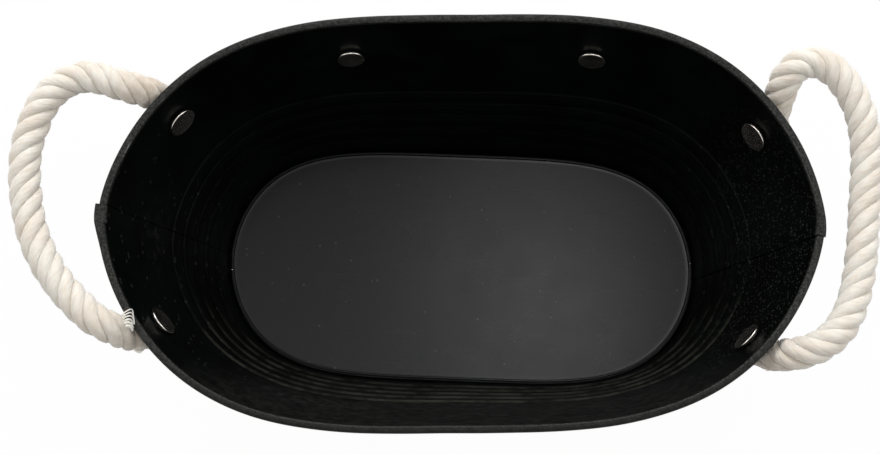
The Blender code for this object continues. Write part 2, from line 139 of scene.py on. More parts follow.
HANDLES = {
    "left": (LEFT_BACK_END, LEFT_LOOP, LEFT_FRONT_END),
    "right": (RIGHT_BACK_END, RIGHT_LOOP, RIGHT_FRONT_END)}
print("route points", {side: sum(len(part) for part in parts) for side, parts in HANDLES.items()})

# %% [markdown]
# A curve through listed points must not overshoot where they crowd together. The centripetal form of the
# Catmull-Rom curve spaces its knots by the square root of each gap, which keeps tight bends calm. The curve
# is then walked at even steps, so that the rope's twist later turns at an even rate.

# %% Smooth curves at even steps
CURVE_STEPS = 40


def curve_between(four, knots, place):
    """A point between the middle two of four points, on a curve through them all."""
    def mixed(before, after, start, end):
        share = (place - knots[start]) / (knots[end] - knots[start])
        return before.lerp(after, share)

    sides = [mixed(four[i], four[i + 1], i, i + 1) for i in range(3)]
    arms = [mixed(sides[i], sides[i + 1], i, i + 2) for i in range(2)]
    return mixed(arms[0], arms[1], 1, 2)


def smooth_run(points):
    """Many points of a smooth curve through a route's few."""
    spots = [Vector(point) for point in points]
    ends = [2 * spots[0] - spots[1]] + spots + [2 * spots[-1] - spots[-2]]
    curve = []
    for index in range(1, len(ends) - 2):
        four = ends[index - 1:index + 3]
        knots = [0.0]
        for before, after in zip(four, four[1:]):
            knots.append(knots[-1] + math.sqrt((after - before).length))
        for step in range(CURVE_STEPS):
            curve.append(curve_between(four, knots, knots[1] + (knots[2] - knots[1]) * step / CURVE_STEPS))
    return np.array(curve + [spots[-1]])


def even_steps(curve, step):
    """Points along a curve at even distances."""
    lengths = np.concatenate([[0], np.cumsum(np.linalg.norm(np.diff(curve, axis=0), axis=1))])
    places = np.linspace(0, lengths[-1], max(2, round(lengths[-1] / step) + 1))
    return np.stack([np.interp(places, lengths, curve[:, axis]) for axis in range(3)], 1), places


print("left rope", round(even_steps(smooth_run(sum(HANDLES["left"], [])), MM)[1][-1] / MM, 1), "mm")

# %% [markdown]
# ## The outline of the body
#
# Seen from above, the rim and the foot are ovals squarer at the ends than an ellipse. An ellipse's cosine and
# sine raised to a power give such ovals. The wall runs straight from foot to rim, so a point on it lies on
# the line between two points in the same direction, and the sheet's thickness and beads are measured off that
# line.

# %% Rim and foot outlines
ROLL_HEIGHT = 165 * MM
RIM_HALF_LENGTH = 200 * MM
RIM_HALF_WIDTH = 117.1 * MM
RIM_FULLNESS_SHARES = (3.47, 1.60)
RIM_SHEAR_SHARE = 0.0168
RIM_SKEW = 1.7 * MM
FOOT_HALF_LENGTH = 149.7 * MM
FOOT_HALF_WIDTH = 74.6 * MM
FOOT_FULLNESS_SHARES = (4.40, 1.88)
FOOT_TURN = math.radians(-2.68)
ROLL_RADIUS = 2.1 * MM
OUTLINE_SAMPLES = 7200
NORMAL_PROBE = math.radians(0.5)


def signed_power(values, exponent):
    """A power that keeps the sign."""
    return np.sign(values) * np.abs(values) ** exponent


def full_turn(count):
    """Angles at even steps round a full turn."""
    return np.linspace(0, math.tau, count, endpoint=False)


def unit(vectors):
    """Vectors brought to length 1."""
    return vectors / np.linalg.norm(vectors, axis=-1, keepdims=True)


def rim_line(turn):
    """The outermost line of the rolled rim, seen from above."""
    x = RIM_HALF_LENGTH * signed_power(np.cos(turn), 2 / RIM_FULLNESS_SHARES[0])
    y = RIM_HALF_WIDTH * signed_power(np.sin(turn), 2 / RIM_FULLNESS_SHARES[1])
    skew = RIM_SKEW * signed_power(x / RIM_HALF_LENGTH, 4)
    return np.stack([x + RIM_SHEAR_SHARE * y, y - skew], -1)


def foot_line(turn):
    """The wall's inner surface at the foot, seen from above."""
    x = FOOT_HALF_LENGTH * signed_power(np.cos(turn), 2 / FOOT_FULLNESS_SHARES[0])
    y = FOOT_HALF_WIDTH * signed_power(np.sin(turn), 2 / FOOT_FULLNESS_SHARES[1])
    c, s = math.cos(FOOT_TURN), math.sin(FOOT_TURN)
    return np.stack([c * x - s * y, s * x + c * y], -1)


def directions_of(line):
    """A function from directions to points of an outline, with its outward normals."""
    turns = full_turn(OUTLINE_SAMPLES)
    points = line(turns)
    angles = np.unwrap(np.arctan2(points[:, 1], points[:, 0]))

    def at(angle):
        wrapped = (np.asarray(angle) - angles[0]) % math.tau + angles[0]
        return line(np.interp(wrapped, np.append(angles, angles[0] + math.tau), np.append(turns, math.tau)))

    def both(angle):
        run = at(np.asarray(angle) + NORMAL_PROBE) - at(np.asarray(angle) - NORMAL_PROBE)
        normal = np.stack([run[..., 1], -run[..., 0]], -1)
        return at(angle), unit(normal)

    return both


rim_at = directions_of(rim_line)
foot_at = directions_of(foot_line)
print("rim", np.round(rim_at(0.0)[0] / MM, 1), "foot", np.round(foot_at(0.0)[0] / MM, 1))

# %% [markdown]
# The laps at the two ends run straight up and down, so there the foot's point is the one at the same distance
# along the width, not in the same direction. Away from the ends this fades out.

# %% Places on the wall


def stations_at(angles):
    """Foot and rim points and normals of the wall's inner surface, in each direction."""
    angles = np.asarray(angles, float)
    rim, rim_normal = rim_at(angles)
    top = rim - 2 * ROLL_RADIUS * rim_normal
    square = np.arcsin(np.clip(top[:, 1] / FOOT_HALF_LENGTH, -1, 1))
    level = np.where(np.cos(angles) > 0, square, math.pi - square)
    fade = np.clip(1 - np.abs(top[:, 1]) / (RIM_HALF_WIDTH / 2), 0, 1)
    change = (level - angles + math.pi) % math.tau - math.pi
    foot, foot_normal = foot_at(angles + fade * change)
    return foot, top, foot_normal, rim_normal


def wall_points(places, anchor, off, height):
    """Points off the wall's inner surface, one for each station, which is met at the anchor height."""
    foot, top, foot_normal, rim_normal = places
    share = np.reshape(anchor, (-1, 1)) / ROLL_HEIGHT
    normal = unit(foot_normal + (rim_normal - foot_normal) * share)
    spot = foot + (top - foot) * share + normal * np.reshape(off, (-1, 1))
    return np.column_stack([spot, np.broadcast_to(height, len(spot))])


def frame_at(spot, direction):
    """A frame at a spot, its Z axis in that direction."""
    return Matrix.Translation(spot) @ direction.normalized().to_track_quat("Z", "Y").to_matrix().to_4x4()


def wall_frame(angle, height):
    """A frame on the wall's inner surface, its Z axis straight out through the sheet."""
    places = stations_at([angle])
    spot = Vector(wall_points(places, height, 0, height)[0])
    share = height / ROLL_HEIGHT
    level = Vector((*(places[2][0] * (1 - share) + places[3][0] * share), 0)).normalized()
    rise = Vector(wall_points(places, ROLL_HEIGHT, 0, ROLL_HEIGHT)[0] - wall_points(places, 0, 0, 0)[0])
    return frame_at(spot, Vector((-level.y, level.x, 0)).cross(rise))


LEAN_PROBE = (0.3, 138 * MM)
print("wall leans", round(math.degrees(math.asin(-wall_frame(*LEAN_PROBE).col[2].z)), 1), "degrees")

# %% [markdown]
# ## Materials
#
# A finish is a Principled shader whose colour, roughness and bump come from noise in the object's own
# coordinates, so it needs no picture and looks the same from every side. Small helpers keep each finish
# short: one adds a node, one makes a noise, one maps a noise onto a range, and one lays a colour over what is
# there. A mix node has an input of the same name for each kind of value, so its inputs for colours are picked
# by their numbers.
#
# In the tables of the finishes a noise is its size, its detail, how rough it is and how it is stretched. The
# numbers after it are the two ends of the range it is mapped from, then those of the range it is mapped onto,
# which is 0 to 1 where nothing is given.

# %% Material helpers
SPECK_EDGE_SHARES = (0.12, 0.32)
MIX_SHARE_INPUT, MIX_COLOUR_INPUTS, MIX_COLOUR_OUTPUT = 0, (6, 7), 2


class NodeTree:
    """A node tree, with short ways to add nodes and join them."""

    def __init__(self, tree):
        self.tree = tree

    def node(self, kind, **settings):
        """A node with its settings made."""
        made = self.tree.nodes.new(kind)
        for name, value in settings.items():
            setattr(made, name, value)
        return made

    def join(self, source, target):
        """A link from an output to an input."""
        self.tree.links.new(source, target)

    def math(self, operation, one, other):
        """The result of a calculation on two values."""
        made = self.node("ShaderNodeMath", operation=operation)
        for index, value in enumerate((one, other)):
            if isinstance(value, (int, float)):
                made.inputs[index].default_value = value
            else:
                self.join(value, made.inputs[index])
        return made.outputs["Value"]

    def times(self, one, other):
        """The product of two values."""
        return self.math("MULTIPLY", one, other)


class Finish(NodeTree):
    """A material under construction: its shader, its coordinates and its colour so far."""

    def __init__(self, name, colour, roughness=0.5, metallic=0.0, gloss=0.5):
        self.material = bpy.data.materials.new(name)
        self.material.use_nodes = True
        super().__init__(self.material.node_tree)
        self.shader = self.tree.nodes["Principled BSDF"]
        settings = {"Roughness": roughness, "Metallic": metallic, "Specular IOR Level": gloss}
        for setting, value in settings.items():
            self.shader.inputs[setting].default_value = value
        self.place = self.node("ShaderNodeTexCoord").outputs["Object"]
        self.colour = colour

    def kept(self, name, output="Fac"):
        """The number or vector of that name that the mesh keeps at its points."""
        return self.node("ShaderNodeAttribute", attribute_name=name).outputs[output]

    def stretched(self, stretch):
        """The place scaled along its axes, or as it is where nothing is given."""
        if not stretch:
            return self.place
        scaled = self.node("ShaderNodeMapping")
        scaled.inputs["Scale"].default_value = stretch
        self.join(self.place, scaled.inputs["Vector"])
        return scaled.outputs["Vector"]

    def noise(self, size, detail, rough=0.55, stretch=None):
        """Noise whose blobs are about that size, from 0 to 1."""
        made = self.node("ShaderNodeTexNoise")
        for setting, value in (("Scale", 1 / size), ("Detail", detail), ("Roughness", rough)):
            made.inputs[setting].default_value = value
        self.join(self.stretched(stretch), made.inputs["Vector"])
        return made.outputs["Fac"]

    def ramp(self, value, low, high, start=0.0, end=1.0):
        """A value mapped from one range onto another, smoothly, and held at its ends."""
        made = self.node("ShaderNodeMapRange", interpolation_type="SMOOTHSTEP")
        self.join(value, made.inputs["Value"])
        for name, number in (("From Min", low), ("From Max", high), ("To Min", start), ("To Max", end)):
            made.inputs[name].default_value = number
        return made.outputs["Result"]

    def clouds(self, noise, *limits):
        """A noise, given by its settings, mapped onto a range."""
        return self.ramp(self.noise(*noise), *limits)

    def mix(self, share, first, second):
        """A colour between two, each a colour or an output."""
        made = self.node("ShaderNodeMix", data_type="RGBA")
        self.join(share, made.inputs[MIX_SHARE_INPUT])
        for index, colour in zip(MIX_COLOUR_INPUTS, (first, second)):
            if isinstance(colour, tuple):
                made.inputs[index].default_value = (*colour, 1.0)
            else:
                self.join(colour, made.inputs[index])
        return made.outputs[MIX_COLOUR_OUTPUT]

    def cover(self, share, colour):
        """Lays a share of a colour over what the finish has so far."""
        self.colour = self.mix(share, self.colour, colour)
        self.join(self.colour, self.shader.inputs["Base Color"])

    def near(self, centre, radius, squeeze=(1, 1, 1)):
        """How near a place is to a centre, 1 there and 0 at the radius."""
        vector = self.place
        for operation, by in (("SUBTRACT", centre), ("MULTIPLY", squeeze)):
            step = self.node("ShaderNodeVectorMath", operation=operation)
            self.join(vector, step.inputs[0])
            step.inputs[1].default_value = by
            vector = step.outputs["Vector"]
        length = self.node("ShaderNodeVectorMath", operation="LENGTH")
        self.join(vector, length.inputs[0])
        return self.ramp(length.outputs["Value"], 0, radius, 1, 0)

    def specks(self, size, share, stretch=None):
        """Small scattered dots, 1 inside each: share is how many cells hold one."""
        cells = self.node("ShaderNodeTexVoronoi", feature="F1")
        cells.inputs["Scale"].default_value = 1 / size
        self.join(self.stretched(stretch), cells.inputs["Vector"])
        inside = self.ramp(cells.outputs["Distance"], *SPECK_EDGE_SHARES, 1, 0)
        split = self.node("ShaderNodeSeparateColor")
        self.join(cells.outputs["Color"], split.inputs["Color"])
        chosen = self.math("LESS_THAN", split.outputs["Red"], share)
        return self.times(inside, chosen)

    def bump(self, value, depth, strength, under=None):
        """A bump of that depth in metres, over another if one is given."""
        made = self.node("ShaderNodeBump")
        made.inputs["Strength"].default_value = strength
        made.inputs["Distance"].default_value = depth
        self.join(value, made.inputs["Height"])
        if under is not None:
            self.join(under, made.inputs["Normal"])
        return made.outputs["Normal"]

    def finished(self, roughness, normal):
        """The material, with its roughness and its bumps joined on."""
        self.join(roughness, self.shader.inputs["Roughness"])
        self.join(normal, self.shader.inputs["Normal"])
        return self.material


print("finish helpers ready")

# %% [markdown]
# ### Black paint on the shells
#
# The shells carry a satin black paint with a fine grain. Lint and dust lie on it: tiny pale specks, most of
# them on the right-hand wall, and a few rubbed patches on the front wall and one on the left. The front wall
# and the beads' ledges near the front are painted lighter, partly as dust and partly as painted light and
# painted highlights from the lamp behind. The rim is painted grey, partly as wear and partly as a painted
# reflection of the light overhead, least at the front; its crisp inner edge is drawn lighter still, and near
# the two back corners a few knocks show bare metal. The specks are Voronoi cells of which only a few are
# chosen, and the patches are soft balls broken up by noise.

# %% Black paint
PAINT = (0.0006, 0.0006, 0.0006)
PAINT_GREY = (0.0013, 0.0021, 0.0019)
DUST = (0.30, 0.30, 0.29)
# Rim grey: partly wear, partly a painted reflection of the light overhead.
RIM_WEAR_AND_SHEEN = (0.040, 0.041, 0.038)
RIM_EDGE = (0.060, 0.061, 0.058)
# Front wall colour: partly dust, partly painted light from the lamp behind.
FRONT_DUST_AND_LIGHT = (0.0100, 0.0100, 0.0093)
BARE_EDGE = (0.24, 0.24, 0.23)
# Ledge colour: partly dust, partly a painted highlight.
LEDGE_DUST_AND_HIGHLIGHT = (0.029, 0.0285, 0.024)
PAINT_GLOSS = 0.09
DUST_PATCHES_MM = (
    ((-80, -95, 110), 30, 0.30), ((7, -97, 100), 24, 0.30), ((67, -97, 110), 30, 0.14),
    ((15, -104, 130), 14, 0.16), ((-28, -92, 90), 9, 0.30), ((-180, 2, 105), 40, 0.030))
PATCH_SQUEEZE = (0.6, 1, 1.6)
RIGHT_WALL, RIGHT_WALL_REACH = (0.185, -0.01, 0.12), 120 * MM
RIM_KNOCKS_MM = ((-164.6, 66.6), (-169.9, 59.2), (-183.3, 41.7), (-184.8, 36.6), (-185.2, 30.9))
KNOCK_HEIGHT = 167 * MM
KNOCK_RADIUS, KNOCK_SQUEEZE = 3.2 * MM, (1, 0.6, 1)
RIGHT_KNOCKS, RIGHT_KNOCKS_REACH = (0.190, 0.050, 0.167), 60 * MM
CLOUDY = ((6 * MM, 5, 0.7), 0.45, 0.75)
FRONT_CLOUDS = ((6 * MM, 5, 0.7), 0.35, 0.65, 0.2, 1)
MOTTLED = ((1.4 * MM, 4, 0.75), 0.40, 0.62, 0.2, 1)
NICKED = ((2.5 * MM, 4, 0.7), 0.42, 0.56)
GREYER = ((38 * MM, 3), 0.35, 0.7)
LEDGE_CLOUDS = ((14 * MM, 5, 0.7), 0.36, 0.64, 0.15, 1)
PAINT_ROUGHNESS, RIM_ROUGHER = ((9 * MM, 4), 0.3, 0.7, 0.28, 0.40), 0.10
FINE_SPECKS, FINE_STRENGTH, FINE_FADE = (1.9 * MM, 0.75), 0.13, (0, 0.6)
LARGE_SPECKS, LARGE_FADE = (4.2 * MM, 0.3, (1.1, 0.9, 1)), (90 * MM, 20 * MM, 0, 0.05)
FRONT_FADE = (-70 * MM, -98 * MM)
RIM_HEIGHTS = (163.5 * MM, 165.5 * MM)
RIM_FRONT_FADE = (-105 * MM, -60 * MM, 0.3, 1)
FAR_KNOCK_STRENGTH = 0.3
GRAIN, GRAIN_DEPTH, GRAIN_STRENGTH = (1.2 * MM, 4, 0.7), 0.12 * MM, 0.8
WALL_GRAIN_SHARE = 0.15
WAVE, WAVE_DEPTH, WAVE_STRENGTH = (25 * MM, 1), 0.25 * MM, 0.35


def lay_dust_and_front_light(paint, across):
    """Dusty patches, fine specks on the right, larger ones away from the back, and a lighter film down the
    front that is partly dust and partly painted light.
    """
    cloudy = paint.clouds(*CLOUDY)
    for centre, radius, strength in DUST_PATCHES_MM:
        near = paint.near([c * MM for c in centre], radius * MM, PATCH_SQUEEZE)
        paint.cover(paint.times(paint.times(near, cloudy), strength), DUST)
    right = paint.ramp(paint.near(RIGHT_WALL, RIGHT_WALL_REACH), *FINE_FADE)
    paint.cover(paint.times(paint.specks(*FINE_SPECKS), paint.times(right, FINE_STRENGTH)), DUST)
    paint.cover(paint.times(paint.specks(*LARGE_SPECKS), paint.ramp(across, *LARGE_FADE)), DUST)
    # The front wall is painted lighter: partly settled dust, partly painted light from the lamp behind.
    paint.cover(paint.times(paint.ramp(across, *FRONT_FADE), paint.clouds(*FRONT_CLOUDS)), FRONT_DUST_AND_LIGHT)


def rim_wear_and_sheen(paint, across, on_rim):
    """A rim painted grey, partly as wear and partly as a painted reflection, least at the front, with a
    lighter inner edge and a few bare knocks on it.
    """
    mottled = paint.clouds(*MOTTLED)
    # The rim's grey is partly wear and partly a painted reflection of the light overhead, weaker at the
    # front.
    wear_and_sheen = paint.times(on_rim, paint.ramp(across, *RIM_FRONT_FADE))
    paint.cover(paint.times(wear_and_sheen, mottled), RIM_WEAR_AND_SHEEN)
    # The rim's crisp inner edge is drawn lighter.
    rim_inner_edge = paint.kept("rim_inner_edge")
    paint.cover(paint.times(rim_inner_edge, mottled), RIM_EDGE)
    knocks = paint.times(paint.near(RIGHT_KNOCKS, RIGHT_KNOCKS_REACH), FAR_KNOCK_STRENGTH)
    for x, y in RIM_KNOCKS_MM:
        near = paint.near((x * MM, y * MM, KNOCK_HEIGHT), KNOCK_RADIUS, KNOCK_SQUEEZE)
        knocks = paint.math("MAXIMUM", knocks, near)
    nicks = paint.times(paint.clouds(*NICKED), knocks)
    paint.cover(paint.times(rim_inner_edge, nicks), BARE_EDGE)


def black_paint():
    """Satin black paint with a fine grain, lint, a few dusty patches, painted light down the front and a rim
    painted grey and lighter at its edge.
    """
    paint = Finish("black_paint", PAINT, gloss=PAINT_GLOSS)
    axes = paint.node("ShaderNodeSeparateXYZ")
    paint.join(paint.place, axes.inputs["Vector"])
    on_rim = paint.ramp(axes.outputs["Z"], *RIM_HEIGHTS)
    paint.cover(paint.clouds(*GREYER), PAINT_GREY)
    lay_dust_and_front_light(paint, axes.outputs["Y"])
    rim_wear_and_sheen(paint, axes.outputs["Y"], on_rim)
    # The bead ledges are painted lighter towards the front: partly dust, partly a painted highlight of the
    # light from behind.
    paint.cover(paint.times(paint.kept("ledge"), paint.clouds(*LEDGE_CLOUDS)), LEDGE_DUST_AND_HIGHLIGHT)
    rough = paint.math("ADD", paint.clouds(*PAINT_ROUGHNESS), paint.times(on_rim, RIM_ROUGHER))
    coarseness = paint.math("ADD", paint.times(on_rim, 1 - WALL_GRAIN_SHARE), WALL_GRAIN_SHARE)
    grain = paint.bump(paint.times(paint.noise(*GRAIN), coarseness), GRAIN_DEPTH, GRAIN_STRENGTH)
    return paint.finished(rough, paint.bump(paint.noise(*WAVE), WAVE_DEPTH, WAVE_STRENGTH, grain))


shell_paint = black_paint()
print("made", shell_paint.name)

# %% [markdown]
# ### The floor's paint
#
# The floor lies square to the lamps overhead and shines back a dull grey. It has faint scuffs and dust. The
# same helpers make it, with a smoother surface and long, faint scratches from a noise stretched along the
# floor.

# %% Floor paint
FLOOR_PAINT = (0.0030, 0.0031, 0.0034)
FLOOR_PAINT_GREY = tuple(1.7 * c for c in FLOOR_PAINT)
FLOOR_GLOSS = 0.17
FLOOR_CLOUDS = (70 * MM, 3)
FLOOR_SCUFFS = ((16 * MM, 6, 0.72), 0.58, 0.80, 0, 0.035)
FLOOR_SPECKS, FLOOR_SPECKS_STRENGTH = (3.4 * MM, 0.03), 0.13
FLOOR_SCRATCHES = ((3 * MM, 4, 0.6, (0.05, 1, 1)), 0.62, 0.70, 0, 0.010)
FLOOR_ROUGHNESS = ((22 * MM, 5, 0.65), 0.3, 0.7, 0.225, 0.245)
FLOOR_GRAIN, FLOOR_GRAIN_DEPTH, FLOOR_GRAIN_STRENGTH = (0.5 * MM, 2), 0.012 * MM, 0.4


def floor_paint():
    """Satin dark paint with faint scuffs, dust and scratches."""
    paint = Finish("floor_paint", FLOOR_PAINT, gloss=FLOOR_GLOSS)
    paint.cover(paint.noise(*FLOOR_CLOUDS), FLOOR_PAINT_GREY)
    paint.cover(paint.clouds(*FLOOR_SCUFFS), DUST)
    paint.cover(paint.times(paint.specks(*FLOOR_SPECKS), FLOOR_SPECKS_STRENGTH), DUST)
    paint.cover(paint.clouds(*FLOOR_SCRATCHES), DUST)
    grain = paint.bump(paint.noise(*FLOOR_GRAIN), FLOOR_GRAIN_DEPTH, FLOOR_GRAIN_STRENGTH)
    return paint.finished(paint.clouds(*FLOOR_ROUGHNESS), grain)


tray_paint = floor_paint()
print("made", tray_paint.name)

# %% [markdown]
# ### Rivet steel
#
# The rivets are plain plated steel, a little dull. They look grey-brown because they mirror the dark walls,
# and their round edges catch the light. A metallic shader with a warm grey colour does this, with a faint
# bump that dulls it.

# %% Rivet steel
RIVET_METAL = (0.66, 0.62, 0.57)
RIVET_PATINA = tuple(0.75 * c for c in RIVET_METAL)
PATINA_NOISE = (2.5 * MM, 4)
STEEL_ROUGHNESS = ((6 * MM, 2), 0.3, 0.7, 0.20, 0.26)
STEEL_WAVE, STEEL_WAVE_DEPTH, STEEL_WAVE_STRENGTH = (4 * MM, 2), 0.04 * MM, 0.15


def rivet_steel():
    """Dull plated steel with a faint patina."""
    steel = Finish("rivet_steel", RIVET_METAL, metallic=1.0)
    steel.cover(steel.noise(*PATINA_NOISE), RIVET_PATINA)
    waves = steel.bump(steel.noise(*STEEL_WAVE), STEEL_WAVE_DEPTH, STEEL_WAVE_STRENGTH)
    return steel.finished(steel.clouds(*STEEL_ROUGHNESS), waves)


cap_steel = rivet_steel()
print("made", cap_steel.name)

# %% [markdown]
# ### Rope fibre
#
# The ropes are soft cream cotton. The grooves between the strands are painted browner as painted shade, and
# towards the rim the rope is painted darker: painted shade where it goes under the rim, with some grime. Both
# follow numbers kept on the mesh itself: how deep a point lies, and how near it is to the rim. Long fibres
# show as a fine bump, drawn out along each strand through the mesh's own lengthwise and round coordinates.

# %% Rope fibre
COTTON = (0.845, 0.812, 0.742)
COTTON_WARM = (0.79, 0.72, 0.635)
# Groove colour: painted shade between the strands; also the brown of some fibres.
GROOVE_SHADE_AND_FIBRE_BROWN = (0.66, 0.58, 0.475)
# Colour near the rim: partly painted shade, partly grime.
RIM_SHADE_AND_SOIL = (0.42, 0.31, 0.21)
SPECK = (0.40, 0.24, 0.12)
SPECK_PLACE, SPECK_RADIUS, SPECK_FADE = (0.2161, 0.0481, 0.172), 2.4 * MM, (0.3, 0.8)
WARMER = ((22 * MM, 3), 0.35, 0.65)
PALER = ((3 * MM, 4), 0.3, 0.8, 0, 0.35)
COTTON_ROUGHNESS, COTTON_GLOSS = 0.92, 0.2
GROOVE_SHADE_SHARE = 0.85
SHADE_AND_SOIL_PATCHES = ((5 * MM, 4), 0.3, 0.7, 0.35, 1)
BROWN_FIBRES = ((1.8 * MM, 4, 0.7, (0.35, 1, 1)), 0.40, 0.72, 0, 0.55)
FIBRE_NOISE, FIBRE_DEPTH, FIBRE_STRENGTH = (0.35 * MM, 3, 0.6, (0.10, 1, 1)), 0.16 * MM, 0.55
TUFT_NOISE, TUFT_DEPTH, TUFT_STRENGTH = (1.3 * MM, 3, 0.6, (0.22, 1, 1)), 0.40 * MM, 0.70
COTTON_SETTINGS = {
    "Subsurface Weight": 0.35, "Subsurface Radius": (1.0, 0.85, 0.70), "Subsurface Scale": 2.0 * MM,
    "Sheen Weight": 0.45, "Sheen Roughness": 0.5}


def rope_fibre(name, fibres=True):
    """Cream cotton; with fibres it has painted shade in its grooves, and painted shade and grime towards the
    rim.
    """
    cotton = Finish(name, COTTON, COTTON_ROUGHNESS, gloss=COTTON_GLOSS)
    for setting, value in COTTON_SETTINGS.items():
        cotton.shader.inputs[setting].default_value = value
    cotton.cover(cotton.clouds(*WARMER), COTTON_WARM)
    cotton.cover(cotton.clouds(*PALER), COTTON)
    if not fibres:
        return cotton.material
    # The grooves between the strands get painted shade.
    cotton.cover(cotton.times(cotton.kept("deep"), GROOVE_SHADE_SHARE), GROOVE_SHADE_AND_FIBRE_BROWN)
    # Towards the rim the rope gets painted shade, with some grime.
    cotton.cover(cotton.times(cotton.kept("shade_and_soil"), cotton.clouds(*SHADE_AND_SOIL_PATCHES)), RIM_SHADE_AND_SOIL)
    cotton.cover(cotton.ramp(cotton.near(SPECK_PLACE, SPECK_RADIUS), *SPECK_FADE), SPECK)
    cotton.place = cotton.kept("lie", "Vector")
    cotton.cover(cotton.clouds(*BROWN_FIBRES), GROOVE_SHADE_AND_FIBRE_BROWN)
    threads = cotton.bump(cotton.noise(*FIBRE_NOISE), FIBRE_DEPTH, FIBRE_STRENGTH)
    tufts = cotton.bump(cotton.noise(*TUFT_NOISE), TUFT_DEPTH, TUFT_STRENGTH, threads)
    cotton.join(tufts, cotton.shader.inputs["Normal"])
    return cotton.material


cotton_rope = rope_fibre("rope_fibre")
cotton_thread = rope_fibre("binding_thread", fibres=False)
print("made", cotton_rope.name, cotton_thread.name)

# %% [markdown]
# ## Building meshes from rings
#
# Every piece here is a sheet, a turned shape or a tube, so each is a stack of rings of points. One function
# joins the rings with quads and closes the ends. Numbers for the material, such as how much painted shade and
# grime a rope has, are kept on points.

# %% Mesh helpers
SMOOTH_ANGLE = math.radians(38)


def add_object(name, mesh, material):
    """An object in the scene with that mesh and material."""
    mesh.materials.append(material)
    piece = bpy.data.objects.new(name, mesh)
    bpy.context.scene.collection.objects.link(piece)
    return piece


def ring_faces(count, around, first=0):
    """Quads between rings of points, the first point having that number, and a face that closes each end."""
    index = first + np.arange(count * around).reshape(count, around)
    after = np.roll(index, -1, axis=1)
    quads = np.stack([index[:-1], after[:-1], after[1:], index[1:]], -1).reshape(-1, 4)
    return quads.tolist() + [index[0][::-1].tolist(), index[-1].tolist()]


def ring_mesh(name, rings, material, smooth_angle=SMOOTH_ANGLE):
    """An object from rings of points, each ring as long as the next."""
    rings = np.asarray(rings, float)
    mesh = bpy.data.meshes.new(name)
    mesh.from_pydata(rings.reshape(-1, 3).tolist(), [], ring_faces(*rings.shape[:2]))
    shape = bmesh.new()
    shape.from_mesh(mesh)
    bmesh.ops.recalc_face_normals(shape, faces=shape.faces)
    shape.to_mesh(mesh)
    shape.free()
    mesh.shade_smooth()
    mesh.set_sharp_from_angle(angle=smooth_angle)
    return add_object(name, mesh, material)


def keep_numbers(piece, name, values):
    """Keeps one number or one vector for each point of a mesh."""
    values = np.asarray(values, np.float32)
    kind = "FLOAT_VECTOR" if values.ndim == 2 else "FLOAT"
    attribute = piece.data.attributes.new(name, kind, "POINT")
    attribute.data.foreach_set("vector" if values.ndim == 2 else "value", values.ravel())


def settle(piece, body, slot, *nodes):
    """Rides a piece on its body and lets it stand for its nodes; the slot is not used."""
    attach(piece, body)
    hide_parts(*nodes)


print("mesh helpers ready")

# %% [markdown]
# ## The half shells
#
# Each shell is one pressing. Its section, from the inside out, is a flange turned in under the wall, five
# shallow beads, a plain wall and a rim rolled outward. Each bead swells slowly from below and ends above in a
# narrow ledge, which is painted lighter towards the front, partly as dust and partly as a painted highlight.
# The rim is rolled, then flattened in the press: it has a level top with a crisp inner edge, which a circle
# raised to a power gives. Every place round the rim can have its own flange, lift, shift and rim size, for
# the laps.

# %% Shell sizes and section
SHEET = 0.8 * MM
GAP = 0.3 * MM
ROLL_TURN = math.radians(285)
ROLL_STEPS = 44
RIM_SQUARENESS = 2.5
FLANGE_WIDTH = 8 * MM
FLANGE_STUB = 0.2 * MM
FOLD_RADIUS = 0.6 * MM
BEAD_HEIGHTS = [(25 + 15 * bead) * MM for bead in range(5)]
BEAD_DEPTH = 1.2 * MM
BEAD_SLOPE_MM = (-7.2, -1.6)
BEAD_LEDGE_MM = (-1.2, 1.2)
BEAD_ROWS_MM = (-7.2, -6.2, -5.2, -4.2, -3.2, -2.4, -1.6, -1.2, -0.85, -0.5, -0.15, 0.2, 0.55, 0.9, 1.2)
FOOT_ROWS_MM = (1.6, 8, 14)
TOP_ROWS_MM = (92, 100, 110, 120, 130, 140, 148, 155, 158, 160, 162, 163.5)
FOLD_TURNS = np.radians((0, 23, 45, 68, 90))
FLANGE_ROOT = 0.3 * SHEET
LEDGE_RISE_MM, LEDGE_FALL_MM = (-1.3, -0.5), (0.4, 1.2)
RIM_NECK = 7 * MM


def eased(values, start, end):
    """A smooth rise from 0 at the start to 1 at the end."""
    share = np.clip((values - start) / (end - start), 0, 1)
    return share * share * (3 - 2 * share)


def wall_profile():
    """Heights up the wall, closer over the beads, with how far in the beads press the sheet."""
    beads = [middle / MM + row for middle in BEAD_HEIGHTS for row in BEAD_ROWS_MM]
    heights = np.array([*FOOT_ROWS_MM, *beads, *TOP_ROWS_MM]) * MM
    depth = np.zeros_like(heights)
    for middle in BEAD_HEIGHTS:
        above = (heights - middle) / MM
        depth += BEAD_DEPTH * eased(above, *BEAD_SLOPE_MM) * (1 - eased(above, *BEAD_LEDGE_MM))
    return heights, depth


def on_ledges(anchors):
    """How much of a ledge each height of the wall is, from 0 to 1."""
    above = (anchors[..., None] - np.array(BEAD_HEIGHTS)) / MM
    return (eased(above, *LEDGE_RISE_MM) * (1 - eased(above, *LEDGE_FALL_MM))).max(axis=-1)


def curl(centre, half_width, half_height):
    """The rim's roll, its upper half squared, as anchor heights, distances off the wall line, and heights."""
    rows = []
    for turn in np.linspace(math.pi, math.pi - ROLL_TURN, ROLL_STEPS + 1):
        power = 2 / RIM_SQUARENESS if math.sin(turn) > 0 else 1
        off = half_width * signed_power(math.cos(turn), power)
        rise = half_height * signed_power(math.sin(turn), power)
        rows.append((ROLL_HEIGHT, centre + off, ROLL_HEIGHT + rise))
    return rows


